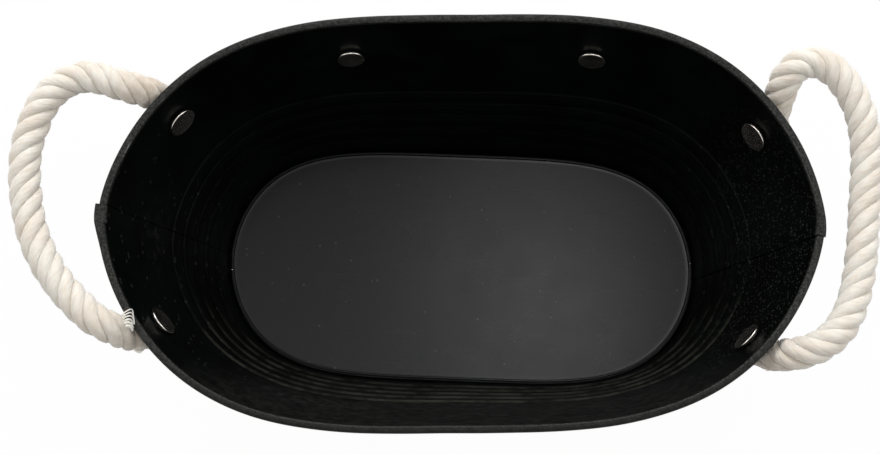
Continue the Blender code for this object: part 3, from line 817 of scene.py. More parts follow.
def section_of(flange, lift, shift, low, high, half_height):
    """The sheet's closed section, for a wall's shift and a rim's inner edge, outer edge and half height."""
    heights, depth = wall_profile()
    top = np.clip((heights - ROLL_HEIGHT + RIM_NECK) / RIM_NECK, 0, 1)
    depth = depth - (low - shift) * top
    lifted = heights + lift * (heights < heights[1])
    rows = [(0, shift - flange, 0), (0, shift - FLANGE_ROOT, 0)]
    for turn in FOLD_TURNS:
        off = shift + SHEET - FOLD_RADIUS * (1 - math.sin(turn))
        rows.append((0, off, lift + FOLD_RADIUS * (1 - math.cos(turn))))
    rows += [(h, shift + SHEET - d, z) for h, d, z in zip(heights, depth, lifted)]
    centre, half_width = (low + high) / 2, (high - low) / 2
    rows += curl(centre, half_width - SHEET, half_height - SHEET)
    rows += curl(centre, half_width, half_height)[::-1]
    rows += [(h, shift - d, z) for h, d, z in zip(heights, depth, lifted)][::-1]
    rows += [(0, shift - FLANGE_ROOT, SHEET), (0, shift - flange, SHEET)]
    return np.array(rows)


plain_section = section_of(FLANGE_WIDTH, 0, 0, 0, 2 * ROLL_RADIUS, ROLL_RADIUS)
print("section points", len(plain_section))

# %% [markdown]
# At each end of the basket one shell's rim is opened wider and slipped over the other's, and its wall passes
# inside the other's wall by one sheet. The tables give, for each distance past the end's middle line, how far
# the wall and the rim's two edges are shifted off the wall line. They differ between the ends, because such
# laps are closed by hand. The flange of the outer shell is notched, so that the two flanges meet edge to edge
# below the floor.

# %% Lap tables
OVER_EDGES_MM = {
    "front_shell": (
        (-16, 0, 0, 4.2), (-12, 0, 0, 4.35), (-8, -0.05, 0, 4.7), (-4, -0.15, 0, 5.2), (-1.7, -0.2, 0, 5.5),
        (-0.9, -0.2, -1.25, 5.7), (4, -0.2, -0.8, 6.1), (9.7, -0.2, -0.35, 6.4)),
    "back_shell": (
        (-9, 0, 0, 4.2), (-5, -0.05, -0.1, 4.25), (-1, -0.1, -0.35, 4.3), (3, -0.15, -0.5, 4.6),
        (7, -0.2, -0.6, 5.0), (11.4, -0.25, -0.6, 5.25))}
UNDER_EDGES_MM = {
    "front_shell": ((-14, 0, 0, 4.2), (-12.2, 0, 0, 4.2), (-11.2, 0.8, 0.55, 4.0), (1, 0.8, 0.55, 3.9)),
    "back_shell": ((-12, 0, 0, 4.2), (-10.5, 0, 0, 4.1), (-9.4, 0.8, 0.6, 4.1), (1, 0.8, 0.6, 4.1))}
OVER_HALF_HEIGHT = 2.9 * MM
UNDER_HALF_HEIGHT = 1.7 * MM
NOTCH_REACH = -1.3 * MM
SHELL_STEPS = 220
LAP_STEP = 0.3 * MM
LAP_RISE_SHARE = 1 / 3


def lap_rows(table, over):
    """Sections along one lap, each with its reach past the middle line."""
    reaches, shifts, inner, outer = np.array(table).T * MM
    target = OVER_HALF_HEIGHT if over else UNDER_HALF_HEIGHT
    full = reaches[0] + (reaches[-1] - reaches[0]) * LAP_RISE_SHARE
    rows = []
    for reach in np.arange(reaches[0], reaches[-1] + LAP_STEP / 2, LAP_STEP):
        shift, low, high = (np.interp(reach, reaches, edge) for edge in (shifts, inner, outer))
        half_height = ROLL_RADIUS + (target - ROLL_RADIUS) * eased(reach, reaches[0], full)
        notched = over and reach > NOTCH_REACH
        flange, lift = (FLANGE_STUB, SHEET + GAP) if notched else (FLANGE_WIDTH, 0)
        rows.append((reach, section_of(flange, lift, shift, low, high, half_height)))
    return rows


def shell_sections(name):
    """Directions round a shell that faces the front, with the section at each."""
    over = lap_rows(OVER_EDGES_MM[name], True)
    under = lap_rows(UNDER_EDGES_MM[name], False)
    found = [(math.pi - math.asin(reach / RIM_HALF_LENGTH), section) for reach, section in over[::-1]]
    first, last = found[-1][0], math.tau + math.asin(under[0][0] / RIM_HALF_LENGTH)
    for step in range(1, SHELL_STEPS):
        turn = math.pi + math.pi * step / SHELL_STEPS
        angle = math.atan2(RIM_HALF_WIDTH * math.sin(turn), RIM_HALF_LENGTH * math.cos(turn)) % math.tau
        if first < angle < last:
            found.append((angle, plain_section))
    return found + [(math.tau + math.asin(reach / RIM_HALF_LENGTH), section) for reach, section in under]


print("lap sections", len(lap_rows(OVER_EDGES_MM["front_shell"], True)))

# %% [markdown]
# A real pressing isn't quite true: its wall waves by a tenth of a millimetre or two. A few slow sines over
# the outline give that, and they keep the sheet's thickness because both its sides move together. Each point
# also keeps how near it is to the rim's crisp inner edge, which the paint draws lighter.

# %% Sweep the shells
WAVES_MM = ((3, 0.9, 0.10), (7, 2.1, 0.07), (13, 0.4, 0.05), (22, 1.7, 0.03))
WAVE_LEAN = 9
CALM_FOOT = 20 * MM
CALM_LAP_GAIN = 6
INNER_EDGE_WIDTH, INNER_EDGE_GAIN = 0.40 * MM, 1.5
INNER_EDGE_PLACE = (0.20 * ROLL_RADIUS, 0.70 * ROLL_RADIUS)


def shell_points(name):
    """A front-facing shell's points, one ring a section, with how near the rim's inner edge and how much of a
    ledge each is.
    """
    found = shell_sections(name)
    angles = np.array([angle for angle, _ in found])
    sections = np.array([section for _, section in found])
    places = stations_at(angles)
    rings = []
    for column in range(sections.shape[1]):
        anchor, off, height = sections[:, column].T
        slant = WAVE_LEAN * anchor
        wave = sum(size * MM * np.sin(count * angles + phase + slant) for count, phase, size in WAVES_MM)
        calm = np.clip(np.abs(np.sin(angles)) * CALM_LAP_GAIN, 0, 1) * np.clip(anchor / CALM_FOOT, 0, 1)
        rings.append(wall_points(places, anchor, off + wave * calm, height))
    anchors, offs, heights = sections.transpose(2, 0, 1)
    inner = np.where(anchors < ROLL_HEIGHT, np.inf, offs).min(axis=1, keepdims=True)
    edge = np.hypot(offs - inner - INNER_EDGE_PLACE[0], heights - ROLL_HEIGHT - INNER_EDGE_PLACE[1])
    rim_inner_edge = np.clip(INNER_EDGE_GAIN - edge / INNER_EDGE_WIDTH, 0, 1) * (anchors == ROLL_HEIGHT)
    return np.array(rings).transpose(1, 0, 2), rim_inner_edge, on_ledges(anchors)


LEDGE_FRONT_REACH = (15 * MM, 75 * MM)
half_turn = np.array([-1, -1, 1])
for name, facing in (("front_shell", 1), ("back_shell", half_turn)):
    rings, rim_inner_edge, ledge = shell_points(name)
    rings = rings * facing
    sheet = ring_mesh(f"{name}_sheet", rings, shell_paint)
    keep_numbers(sheet, "rim_inner_edge", rim_inner_edge.ravel())
    # Ledges keep a share that grows towards the front, for their dust and painted highlight.
    keep_numbers(sheet, "ledge", (ledge * eased(-rings[:, :, 1], *LEDGE_FRONT_REACH)).ravel())
    settle(sheet, "basket", "black_paint", name)
    print(name, "points", len(sheet.data.vertices))

# %% [markdown]
# ## The floor tray
#
# The floor is a separate sheet that lies on the flanges. Its edge stands up as a small lip just inside the
# wall, and it is bent by up to a tenth of a millimetre between its edges. Rings run from the middle of its
# underside out under the lip, over it and back in across the floor.

# %% Floor tray
TRAY_SHEET = 1.0 * MM
TRAY_SIDE_GAP = 1.3 * MM
TRAY_LIP_HEIGHT = 2.5 * MM
TRAY_LIP_WIDTH = 0.8 * MM
TRAY_STEPS = 240
TRAY_ROUND = 0.2 * MM
TRAY_SAG = 0.25 * MM
TRAY_SAG_TURN = 0.7
UNDERSIDE_SHARE = 0.9
FLOOR_SHARES = np.linspace(0.985, 0.02, 40)


def tray_rings():
    """Rings from the underside's middle, out under the lip, over it and back in across the floor."""
    turns = full_turn(TRAY_STEPS)
    angles = np.arctan2(RIM_HALF_WIDTH * np.sin(turns), RIM_HALF_LENGTH * np.cos(turns))
    places = stations_at(angles)
    bottom = SHEET + GAP
    top = bottom + TRAY_LIP_HEIGHT
    floor = bottom + TRAY_SHEET
    edge, outer, inner = TRAY_ROUND, -TRAY_SIDE_GAP, -TRAY_SIDE_GAP - TRAY_LIP_WIDTH
    profile = [
        (outer - 2 * edge, bottom), (outer, bottom + 2 * edge), (outer, top - edge), (outer - edge, top),
        (inner + edge, top), (inner, top - edge), (inner - 0.75 * edge, floor + 2 * edge),
        (inner - 2 * edge, floor + 0.3 * edge), (inner - 5 * edge, floor)]
    rings = [wall_points(places, 0, off, height) for off, height in profile]
    level = rings[-1]
    for share in FLOOR_SHARES:
        ring = level * np.array([share, share, 1])
        ring[:, 2] = floor + TRAY_SAG * (share - share ** 3) * np.cos(2 * angles + TRAY_SAG_TURN)
        rings.append(ring)
    under = rings[-1].copy()
    under[:, 2] = bottom
    outer_under = rings[0] * np.array([UNDERSIDE_SHARE, UNDERSIDE_SHARE, 1])
    return np.array([under, outer_under] + rings)


tray = ring_mesh("floor_sheet", tray_rings(), tray_paint)
settle(tray, "basket", "floor_paint", "floor_tray")
print("tray", [round(c / MM, 1) for c in tray.dimensions])

# %% [markdown]
# ## Rivets
#
# Six rivets go through the wall: one at each rope end and two in the back. Inside, each shows a flat round
# cap with a turned edge; outside, a smaller head. Both are turned shapes. The cap stands a little off the
# curved wall, because a flat disc touches a hollow wall only at its edge.

# %% Rivet shapes
POST_RADIUS = 2.5 * MM
CAP_THICKNESS = 2.0 * MM
CAP_EDGE = 0.65 * MM
CAP_TUCK = 0.7 * MM
HEAD_TUCK = 0.3 * MM
CAP_STAND_OFF = 0.9 * MM
CAP_CROWN = 0.12 * MM
HEAD_THICKNESS = 2.4 * MM
HEAD_SINK = 1.5 * MM
HEAD_RADIUS = 7 * MM
HANDLE_CAP_RADIUS = 9 * MM
REAR_CAP_RADIUS = 8 * MM
HEAD_CROWN = 0.3 * MM
RIVET_SIDES = 64
FACE_SHARES = (0.02, 0.3, 0.55, 0.75)
EDGE_TURNS = np.radians((0, 15, 30, 45, 60, 75, 90))


def placed(points, place):
    """Points given in a place's own frame, in the world's."""
    return points @ np.array(place.to_3x3()).T + np.array(place.translation)


def disc_profile(radius, face, base, crown, tuck):
    """Radii and heights of a disc from its crowned face over a round edge, drawn in towards its base."""
    out = -1 if face < base else 1
    rows = [(radius * share, face + out * crown * (1 - share ** 2)) for share in FACE_SHARES]
    for turn in EDGE_TURNS:
        rows.append((radius - CAP_EDGE * (1 - math.sin(turn)), face - out * CAP_EDGE * (1 - math.cos(turn))))
    return rows + [(radius - tuck, base), (radius - tuck - CAP_EDGE / 2, base)]


def turned(name, profile, place, material):
    """A turned piece from radii and heights along its own Z axis, at a place."""
    turns = full_turn(RIVET_SIDES)
    radii, heights = np.array(profile).T[..., None]
    rings = np.stack([radii * np.cos(turns), radii * np.sin(turns), heights + 0 * turns], -1)
    return ring_mesh(name, placed(rings, place), material)


def add_rivet(name, place, cap_radius, head_base):
    """A cap inside the wall with its post, and a head outside it."""
    post = [(POST_RADIUS, -CAP_STAND_OFF), (POST_RADIUS, head_base + CAP_EDGE)]
    inner = disc_profile(cap_radius, -CAP_STAND_OFF - CAP_THICKNESS, -CAP_STAND_OFF, CAP_CROWN, CAP_TUCK)
    outer = disc_profile(HEAD_RADIUS, head_base + HEAD_THICKNESS, head_base, HEAD_CROWN, HEAD_TUCK)
    for part, profile in (("cap", inner + post), ("head", outer + [(POST_RADIUS + GAP, head_base)])):
        piece = turned(f"{name}_{part}_turned", profile, place, cap_steel)
        settle(piece, "basket", "rivet_steel", f"{name}_{part}")


print("rivet edge", round(CAP_EDGE / MM, 1), "mm")

# %% [markdown]
# The four handle rivets come in two pairs that are alike by a half turn, as the shells are. The rear pair
# sits near the top of the back wall.

# %% Place the rivets
HANDLE_RIVET_HEIGHT = 138 * MM
HANDLE_RIVET_ANGLES = {
    "right_back": math.radians(17.6), "left_back": math.radians(157.9),
    "left_front": math.radians(197.6), "right_front": math.radians(337.9)}
REAR_RIVET_HEIGHT = 130.5 * MM
REAR_RIVET_ANGLES = {"rear_right": math.radians(53.6), "rear_left": math.radians(120.8)}
ROPE_HEAD_BASE = SHEET + GAP + ROPE_DIAMETER - HEAD_SINK
rivet_places = {}
for corner, angle in HANDLE_RIVET_ANGLES.items():
    rivet_places[corner] = wall_frame(angle, HANDLE_RIVET_HEIGHT)
    add_rivet(f"{corner}_rivet", rivet_places[corner], HANDLE_CAP_RADIUS, ROPE_HEAD_BASE)
for corner, angle in REAR_RIVET_ANGLES.items():
    add_rivet(f"{corner}_rivet", wall_frame(angle, REAR_RIVET_HEIGHT), REAR_CAP_RADIUS, SHEET + GAP)
print("rivets", len(HANDLE_RIVET_ANGLES) + len(REAR_RIVET_ANGLES))

# %% [markdown]
# ## The ropes
#
# The rope is laid from four strands, each wound about the others. Each strand is a tube that follows a helix
# round the rope's own line, and its section is set square to the strand, not to the rope, or steep strands
# come out pinched. The frame carried along the line turns as little as it can, so only the lay twists the
# strands. Under each rivet's head the cotton is pressed flat, and at each tip the binding draws the rope in.

# %% Strands along a line
LAY_LENGTH = 41 * MM
TIGHT_LAY_GAIN = 0.10
TIGHT_LAY_REACH = 110 * MM
STRANDS = 4
STRAND_CENTRE = 5.6 * MM
STRAND_HALF_DEPTH = 3.3 * MM
STRAND_HALF_WIDTH = 3.95 * MM
STRAND_SIDES = 36
ROPE_STEP = 0.9 * MM
NECK_RADIUS = 7.6 * MM
NECK_LENGTH = 9 * MM
NECK_OVERLAP = 0.5 * MM
NECK_SWELL = 2.5 * MM
YARNS = 11
YARN_DEPTH = 0.13 * MM
YARN_UNWIND_SHARE = 0.55
STRAND_SWELLS = ((0.035, 21 * MM, 1), (0.02, 7.3 * MM, 2))
LAY_WANDER, LAY_WANDER_REACH = 0.10, 33 * MM
FLUFF = 0.085 * MM
STRAND_SPACING = 20 * MM


def carried_normals(line):
    """Two normals at each point of a line, turning as little as they can."""
    tangents = unit(np.gradient(line, axis=0))
    normals = np.zeros_like(line)
    normals[0] = unit(np.cross(tangents[0], [0, 0, 1.0]))
    for i in range(1, len(line)):
        normals[i] = unit(normals[i - 1] - tangents[i] * (normals[i - 1] @ tangents[i]))
    return normals, np.cross(tangents, normals)


def draw_in(places):
    """The share of its full thickness that the rope has at each place, less under the bindings."""
    from_tip = np.minimum(places, places[-1] - places)
    neck = NECK_RADIUS / (ROPE_DIAMETER / 2)
    return neck + (1 - neck) * eased(from_tip, NECK_LENGTH - NECK_OVERLAP, NECK_LENGTH + NECK_SWELL)


def strand_rings(line, places, phase, rng):
    """One strand's rings, with the numbers that its material needs."""
    normal, side = carried_normals(line)
    size = draw_in(places)
    loose = 1 + sum(gain * np.sin(places / reach + count * phase) for gain, reach, count in STRAND_SWELLS)
    from_tip = np.minimum(places, places[-1] - places)
    density = 1 + TIGHT_LAY_GAIN * (1 - eased(from_tip, TIGHT_LAY_REACH / 2, TIGHT_LAY_REACH))
    run = np.concatenate([[0], np.cumsum(density[1:] * np.diff(places))])
    turn = math.tau * run / LAY_LENGTH + phase + LAY_WANDER * np.sin(places / LAY_WANDER_REACH + phase)
    outward = np.cos(turn)[:, None] * normal + np.sin(turn)[:, None] * side
    centre = line + outward * (STRAND_CENTRE * size)[:, None]
    along = unit(np.gradient(centre, axis=0))
    radial = unit(outward - along * np.sum(outward * along, axis=1, keepdims=True))
    lateral = np.cross(along, radial)
    around = full_turn(STRAND_SIDES)
    twist = around[None] - YARN_UNWIND_SHARE * turn[:, None]
    fluff = rng.normal(0, FLUFF, (len(line), STRAND_SIDES))
    yarn = YARN_DEPTH * np.abs(np.cos(YARNS / 2 * twist)) + fluff
    depth = STRAND_HALF_DEPTH * (size * loose)[:, None] + yarn
    width = STRAND_HALF_WIDTH * (size * loose)[:, None] + yarn
    rings = centre[:, None] + radial[:, None] * (depth * np.cos(around))[..., None]
    rings = rings + lateral[:, None] * (width * np.sin(around))[..., None]
    lie = np.stack([
        np.broadcast_to(places[:, None], yarn.shape),
        STRAND_HALF_DEPTH * np.cos(twist) + STRAND_SPACING * phase,
        STRAND_HALF_DEPTH * np.sin(twist)], -1)
    return rings, lie


print("lay angle", round(math.degrees(math.atan(math.tau * STRAND_CENTRE / LAY_LENGTH)), 1), "degrees")

# %% [markdown]
# The rivet's head presses the rope's outer side: points that would pass the head's base are moved back to it,
# with a soft edge. The number called deep follows how far a point lies below the rope's outermost round, and
# sets the painted shade in the grooves. Another number, for painted shade and grime, fades with the distance
# from the places where the rope meets the rim: fast for the painted shade under the rim and slowly for the
# grime of hands.

# %% Make the ropes
HEAD_PRESS_EDGE = 3 * MM
NEAR_RIM_REACH = 26 * MM
NEAR_RIM_SHARE, NEAR_RIM_FADE = 0.75, 1.5
GRIME_AND_SHADE = {"left": 0.16, "right": 0.03}
GRIME_AND_SHADE_REACH = 75 * MM
PRESS_GAP = 0.1 * MM
GROOVE_RADIUS, GROOVE_DEPTH = 8.3 * MM, 1.9 * MM
ROPE_SEEDS = {"left": 7, "right": 11}


def press_under_head(points, place):
    """Pushes points back under a rivet's head, softly beyond its edge."""
    local = (points - np.array(place.translation)) @ np.array(place.to_3x3())
    radius = np.hypot(local[:, 0], local[:, 1])
    allowed = ROPE_HEAD_BASE - PRESS_GAP + np.maximum(0, radius - HEAD_RADIUS) ** 2 / HEAD_PRESS_EDGE
    over = (radius < HEAD_RADIUS + 2 * HEAD_PRESS_EDGE) & (local[:, 2] > allowed)
    local[:, 2] = np.where(over, allowed, local[:, 2])
    return placed(local, place)


def join_pieces(name, pieces):
    """Joins objects into one, keeping their numbers and their materials."""
    joined = pieces[0]
    with bpy.context.temp_override(active_object=joined, selected_editable_objects=pieces, object=joined):
        bpy.ops.object.join()
    joined.name = name
    return joined


def add_rope(side, parts):
    """One handle's rope, its strands in one mesh, with the line that it follows and its length."""
    rng = np.random.default_rng(ROPE_SEEDS[side])
    line, places = even_steps(smooth_run(sum(parts, [])), ROPE_STEP)
    rim_ends = np.array([parts[0][-2], parts[2][1]])
    strands = []
    for strand in range(STRANDS):
        phase = math.tau * strand / STRANDS
        rings, lie = strand_rings(line, places, phase, rng)
        flat = rings.reshape(-1, 3)
        for corner in ("back", "front"):
            flat = press_under_head(flat, rivet_places[f"{side}_{corner}"])
        rings = flat.reshape(rings.shape)
        piece = ring_mesh(f"{side}_strand_{strand}", rings, cotton_rope, smooth_angle=math.pi)
        below = np.linalg.norm(flat - np.repeat(line, STRAND_SIDES, axis=0), axis=1)
        # How deep a point lies sets the painted shade in the grooves.
        keep_numbers(piece, "deep", np.clip((GROOVE_RADIUS - below) / GROOVE_DEPTH, 0, 1))
        # Near where the rope meets the rim it gets painted shade, farther off some grime.
        from_rim = np.linalg.norm(flat[:, None] - rim_ends, axis=2).min(axis=1)
        shade_and_soil = np.clip(1 - from_rim / NEAR_RIM_REACH, 0, 1) ** NEAR_RIM_FADE * NEAR_RIM_SHARE
        shade_and_soil = shade_and_soil + GRIME_AND_SHADE[side] * (1 - eased(from_rim, 0, GRIME_AND_SHADE_REACH))
        keep_numbers(piece, "shade_and_soil", shade_and_soil)
        keep_numbers(piece, "lie", lie.reshape(-1, 3))
        strands.append(piece)
    return join_pieces(f"{side}_rope", strands), line, places[-1]


ropes = {}
for side, parts in HANDLES.items():
    ropes[side] = rope, line, length = add_rope(side, parts)
    print(side, "rope", round(length / MM, 1), "mm,", len(rope.data.vertices), "points")

# %% [markdown]
# The loop turns with its handle while the tips stay pinned, so the real rope bends between the two bodies.
# Here each rope takes the place of its handle's loop and rope ends, which are hidden, and its place is baked
# into its points.

# %% Hide the frame's rope parts and bake the ropes' places
joints = {joint["child"]: joint for joint in frame["joints"]}
for side, (rope, line, length) in ropes.items():
    joint = joints[f"{side}_handle"]
    pivot = Vector(joint["pos_m"])
    out = Vector(joint["axis"]).cross(Vector((0, 0, 1))).normalized()
    out = out if out.dot(pivot) > 0 else -out
    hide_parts(f"{side}_handle_loop", f"{side}_back_rope_end", f"{side}_front_rope_end")
    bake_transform(rope)
    print(side, "bends about", [round(c, 3) for c in pivot])

# %% [markdown]
# ## Bindings round the tips
#
# A cut rope frays unless its end is bound. Thread is wound round each tip in close turns, so the binding is a
# thin tube along a tight helix round the drawn-in neck, with its two ends tucked in.

# %% Bind the tips
THREAD_RADIUS = 0.36 * MM
THREAD_TURNS = 11
THREAD_POINTS_A_TURN = 40
THREAD_SIDES = 8
THREAD_TUCK = 0.15 * MM
THREAD_MARGINS = (0.9 * MM, 1.0 * MM)


def tube_rings(line, radius, sides):
    """Rings of a round tube along a line."""
    normal, side = carried_normals(line)
    around = full_turn(sides)
    ring = normal[:, None] * np.cos(around)[None, :, None] + side[:, None] * np.sin(around)[None, :, None]
    return line[:, None] + ring * np.broadcast_to(radius, len(line))[:, None, None]


def add_binding(corner, tip, inner):
    """Thread wound round one rope tip."""
    place = frame_at(Vector(tip), Vector(inner) - Vector(tip))
    turns = np.linspace(0, math.tau * THREAD_TURNS, THREAD_TURNS * THREAD_POINTS_A_TURN)
    share = turns / turns[-1]
    radius = ROPE_DIAMETER / 2 - THREAD_RADIUS - THREAD_TUCK * (1 - np.sin(math.pi * share))
    climb = THREAD_MARGINS[0] + share * (NECK_LENGTH - sum(THREAD_MARGINS))
    line = placed(np.column_stack([radius * np.cos(turns), radius * np.sin(turns), climb]), place)
    rings = tube_rings(line, THREAD_RADIUS, THREAD_SIDES)
    piece = ring_mesh(f"{corner}_wound_thread", rings, cotton_thread, smooth_angle=math.pi)
    settle(piece, "basket", "binding_thread", f"{corner}_binding")


for side, (back_end, _, front_end) in HANDLES.items():
    add_binding(f"{side}_back", back_end[0], back_end[1])
    add_binding(f"{side}_front", front_end[-1], front_end[-2])
print("bindings", 2 * len(HANDLES))

# %% [markdown]
# ## Loose fibres and threads
#
# Soft cotton is never clean-edged. Short fibres stand off the loops, and beside the left front rivet a few
# loose threads curl over the rim. All are thin tubes. The fibres are far too many to place by hand, so a
# seeded random draw places and bends them.

# %% Short fibres along the ropes
FIBRES_A_ROPE = 420
FIBRE_RADIUS = 0.035 * MM
FIBRE_SIDES = 3
FIBRE_POINTS = 6
FIBRE_LENGTHS_MM = (0.8, 2.6)
FIBRE_BENDS = (0.3, 1.1)
FIBRE_ROOT = 0.1 * MM
FIBRE_SEEDS = {"left": 23, "right": 29}
LOOP_FROM_X = 200 * MM
SHALLOW_SHARE = 0.2
FAR_END_SHARE = 0.6


def fibre_line(start, outward, along, rng, length):
    """A short bent line that leaves a surface and lies over."""
    lean, bend = rng.uniform(-1, 1), rng.uniform(*FIBRE_BENDS)
    share = np.arange(FIBRE_POINTS)[:, None] / (FIBRE_POINTS - 1)
    return start + (outward * np.sin(share * bend) + along * lean * share) * share * length


def tubes_mesh(name, lines, radii, sides, material):
    """Many thin tubes in one mesh, each a little thinner at its far end."""
    points, faces = [], []
    for line, radius in zip(lines, radii):
        rings = tube_rings(line, radius * np.linspace(1, FAR_END_SHARE, len(line)), sides)
        faces += ring_faces(len(rings), sides, len(points))
        points += rings.reshape(-1, 3).tolist()
    mesh = bpy.data.meshes.new(name)
    mesh.from_pydata(points, [], faces)
    mesh.shade_smooth()
    return add_object(name, mesh, material)


def add_fibres(side, rope):
    """Short fibres that stand off a rope's loop and move with it."""
    rng = np.random.default_rng(FIBRE_SEEDS[side])
    mesh = rope.data
    spots, normals = np.zeros((2, len(mesh.vertices), 3))
    mesh.vertices.foreach_get("co", spots.ravel())
    mesh.vertices.foreach_get("normal", normals.ravel())
    deep = np.zeros(len(spots), np.float32)
    mesh.attributes["deep"].data.foreach_get("value", deep)
    usable = np.flatnonzero((deep < SHALLOW_SHARE) & (np.abs(spots[:, 0]) > LOOP_FROM_X))
    lines = []
    for index in rng.choice(usable, FIBRES_A_ROPE, replace=False):
        out = normals[index]
        along = unit(np.cross(out, rng.normal(size=3)))
        length = rng.uniform(*FIBRE_LENGTHS_MM) * MM
        lines.append(fibre_line(spots[index] - out * FIBRE_ROOT, out, along, rng, length))
    piece = tubes_mesh(f"{side}_rope_fibres", lines, [FIBRE_RADIUS] * len(lines), FIBRE_SIDES, cotton_thread)
    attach(piece, f"{side}_handle")
    return piece


fibres = {side: add_fibres(side, rope) for side, (rope, _, _) in ropes.items()}
print("fibres on each rope", FIBRES_A_ROPE)

# %% [markdown]
# The loose threads by the left front rivet are drawn one by one from the photograph. They leave the rope's
# inner side, arch over the rolled rim and curl back to the rope.

# %% Loose threads over the rim
LOOSE_THREAD_STEP = 0.5 * MM
LOOSE_THREADS = (
    (0.42, ((-0.1839, -0.0534, 0.1715), (-0.1821, -0.0514, 0.1724), (-0.1801, -0.0500, 0.1720),
            (-0.1788, -0.0492, 0.1704), (-0.1783, -0.0497, 0.1688), (-0.1780, -0.0515, 0.1682),
            (-0.1777, -0.0540, 0.1682))),
    (0.42, ((-0.1833, -0.0540, 0.1720), (-0.1815, -0.0526, 0.1728), (-0.1798, -0.0515, 0.1722),
            (-0.1786, -0.0511, 0.1704), (-0.1780, -0.0523, 0.1689), (-0.1775, -0.0545, 0.1684),
            (-0.1772, -0.0567, 0.1686))),
    (0.50, ((-0.1828, -0.0547, 0.1724), (-0.1809, -0.0537, 0.1730), (-0.1792, -0.0531, 0.1722),
            (-0.1782, -0.0533, 0.1704), (-0.1775, -0.0551, 0.1690), (-0.1771, -0.0573, 0.1688))),
    (0.70, ((-0.1821, -0.0558, 0.1720), (-0.1801, -0.0551, 0.1726), (-0.1788, -0.0550, 0.1716),
            (-0.1781, -0.0560, 0.1700), (-0.1779, -0.0572, 0.1688))),
    (0.85, ((-0.1818, -0.0571, 0.1720), (-0.1798, -0.0566, 0.1722), (-0.1786, -0.0571, 0.1709),
            (-0.1780, -0.0583, 0.1697), (-0.1779, -0.0594, 0.1688))),
    (0.95, ((-0.1812, -0.0584, 0.1720), (-0.1794, -0.0584, 0.1714), (-0.1784, -0.0594, 0.1700),
            (-0.1779, -0.0608, 0.1690))))


def add_loose_threads():
    """The few loose threads that curl over the rim beside the left rope's front end."""
    lines = [even_steps(smooth_run(points), LOOSE_THREAD_STEP)[0] for _, points in LOOSE_THREADS]
    radii = [radius * MM for radius, _ in LOOSE_THREADS]
    piece = tubes_mesh("loose_threads", lines, radii, THREAD_SIDES, cotton_thread)
    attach(piece, "basket")
    return piece


loose_threads = add_loose_threads()
print("loose threads", len(LOOSE_THREADS))

# %% [markdown]
# Each rope is a cord held at both ends, with the length measured above and its thickness.

print("cords declared", len(ropes))

# %% [markdown]
# ## The studio
#
# The object stands on a plain white floor that meets the picture as pure white, yet keeps a faint shadow. The
# floor's material is a plain diffuse white for all light that falls on the object, and mostly a glow of
# strength 1 for rays that come from the camera or from a reflection. The light is a white world and five soft
# lamps: a large one behind, two overhead whose mirror images make the floor tray shine, and one at each side
# for the rim.

# %% Floor and light
FLOOR_SIZE = 6.0
FLOOR_DROP = 0.4 * MM
CAMERA_GLOW_SHARE = 0.97
WORLD_STRENGTH = 0.36
WHITE = (1, 1, 1, 1)
FLOOR_WHITE = (0.9, 0.9, 0.9, 1)
LAMPS = {
    "back_lamp": ((-0.1, 1.4, 1.1), (-54, 0, 0), (0.9, 0.9), 18),
    "wide_top_lamp": ((-0.32, 0.15, 1.9), (0, 0, 0), (0.7, 0.34), 0.55),
    "near_top_lamp": ((-0.01, 0.172, 1.9), (0, 0, 20), (0.60, 0.36), 5.0),
    "left_lamp": ((-1.5, 0.25, 1.3), (0, -51, 0), (0.9, 0.9), 7),
    "right_lamp": ((1.5, 0.25, 1.3), (0, 51, 0), (0.9, 0.9), 8.5)}


def seen_directly(nodes):
    """A value of 1 for rays from the camera, from a reflection or through glass."""
    path = nodes.node("ShaderNodeLightPath")
    total = path.outputs["Is Camera Ray"]
    for name in ("Is Glossy Ray", "Is Transmission Ray"):
        total = nodes.math("MAXIMUM", total, path.outputs[name])
    return total


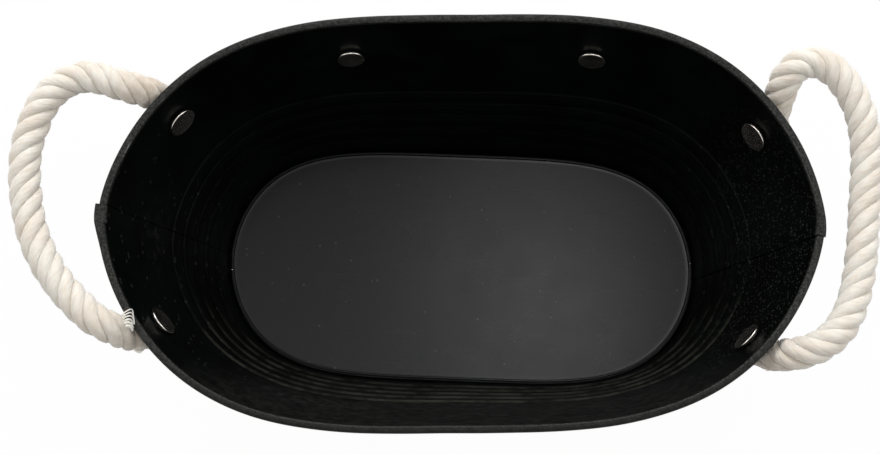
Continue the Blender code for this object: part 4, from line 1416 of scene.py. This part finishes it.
def white_floor():
    """A material that is plain white for light that falls on the object, and glows for rays that see it."""
    material = bpy.data.materials.new("white_floor")
    material.use_nodes = True
    material.node_tree.nodes.clear()
    nodes = NodeTree(material.node_tree)
    diffuse = nodes.node("ShaderNodeBsdfDiffuse")
    diffuse.inputs["Color"].default_value = FLOOR_WHITE
    glow = nodes.node("ShaderNodeEmission")
    glow.inputs["Color"].default_value = WHITE
    both = nodes.node("ShaderNodeMixShader")
    nodes.join(nodes.times(seen_directly(nodes), CAMERA_GLOW_SHARE), both.inputs[0])
    nodes.join(diffuse.outputs["BSDF"], both.inputs[1])
    nodes.join(glow.outputs["Emission"], both.inputs[2])
    nodes.join(both.outputs["Shader"], nodes.node("ShaderNodeOutputMaterial").inputs["Surface"])
    return material


def add_floor():
    """A wide white floor, which shows almost pure white and keeps a faint shadow."""
    mesh = bpy.data.meshes.new("floor")
    half = FLOOR_SIZE / 2
    corners = [(-half, -half, 0), (half, -half, 0), (half, half, 0), (-half, half, 0)]
    mesh.from_pydata(corners, [], [(0, 1, 2, 3)])
    floor = add_object("floor", mesh, white_floor())
    floor.location.z = -FLOOR_DROP


def add_world():
    """A white world, plain for lighting and pure white where it is seen."""
    world = bpy.data.worlds.new("studio")
    bpy.context.scene.world = world
    world.use_nodes = True
    nodes = NodeTree(world.node_tree)
    background = world.node_tree.nodes["Background"]
    background.inputs["Color"].default_value = WHITE
    strength = nodes.node("ShaderNodeMapRange")
    strength.inputs["To Min"].default_value = WORLD_STRENGTH
    nodes.join(seen_directly(nodes), strength.inputs["Value"])
    nodes.join(strength.outputs["Result"], background.inputs["Strength"])


def add_lamp(name, place, turns, size, power):
    """A soft rectangular lamp, turned by angles in degrees from facing straight down."""
    data = bpy.data.lights.new(name, "AREA")
    data.shape = "RECTANGLE"
    data.size, data.size_y = size
    data.energy = power
    lamp = bpy.data.objects.new(name, data)
    lamp.location = place
    lamp.rotation_euler = [math.radians(turn) for turn in turns]
    lamp.visible_camera = False
    bpy.context.scene.collection.objects.link(lamp)


add_floor()
add_world()
for name, settings in LAMPS.items():
    add_lamp(name, *settings)
bpy.context.scene.view_settings.view_transform = "Standard"
print("studio ready")
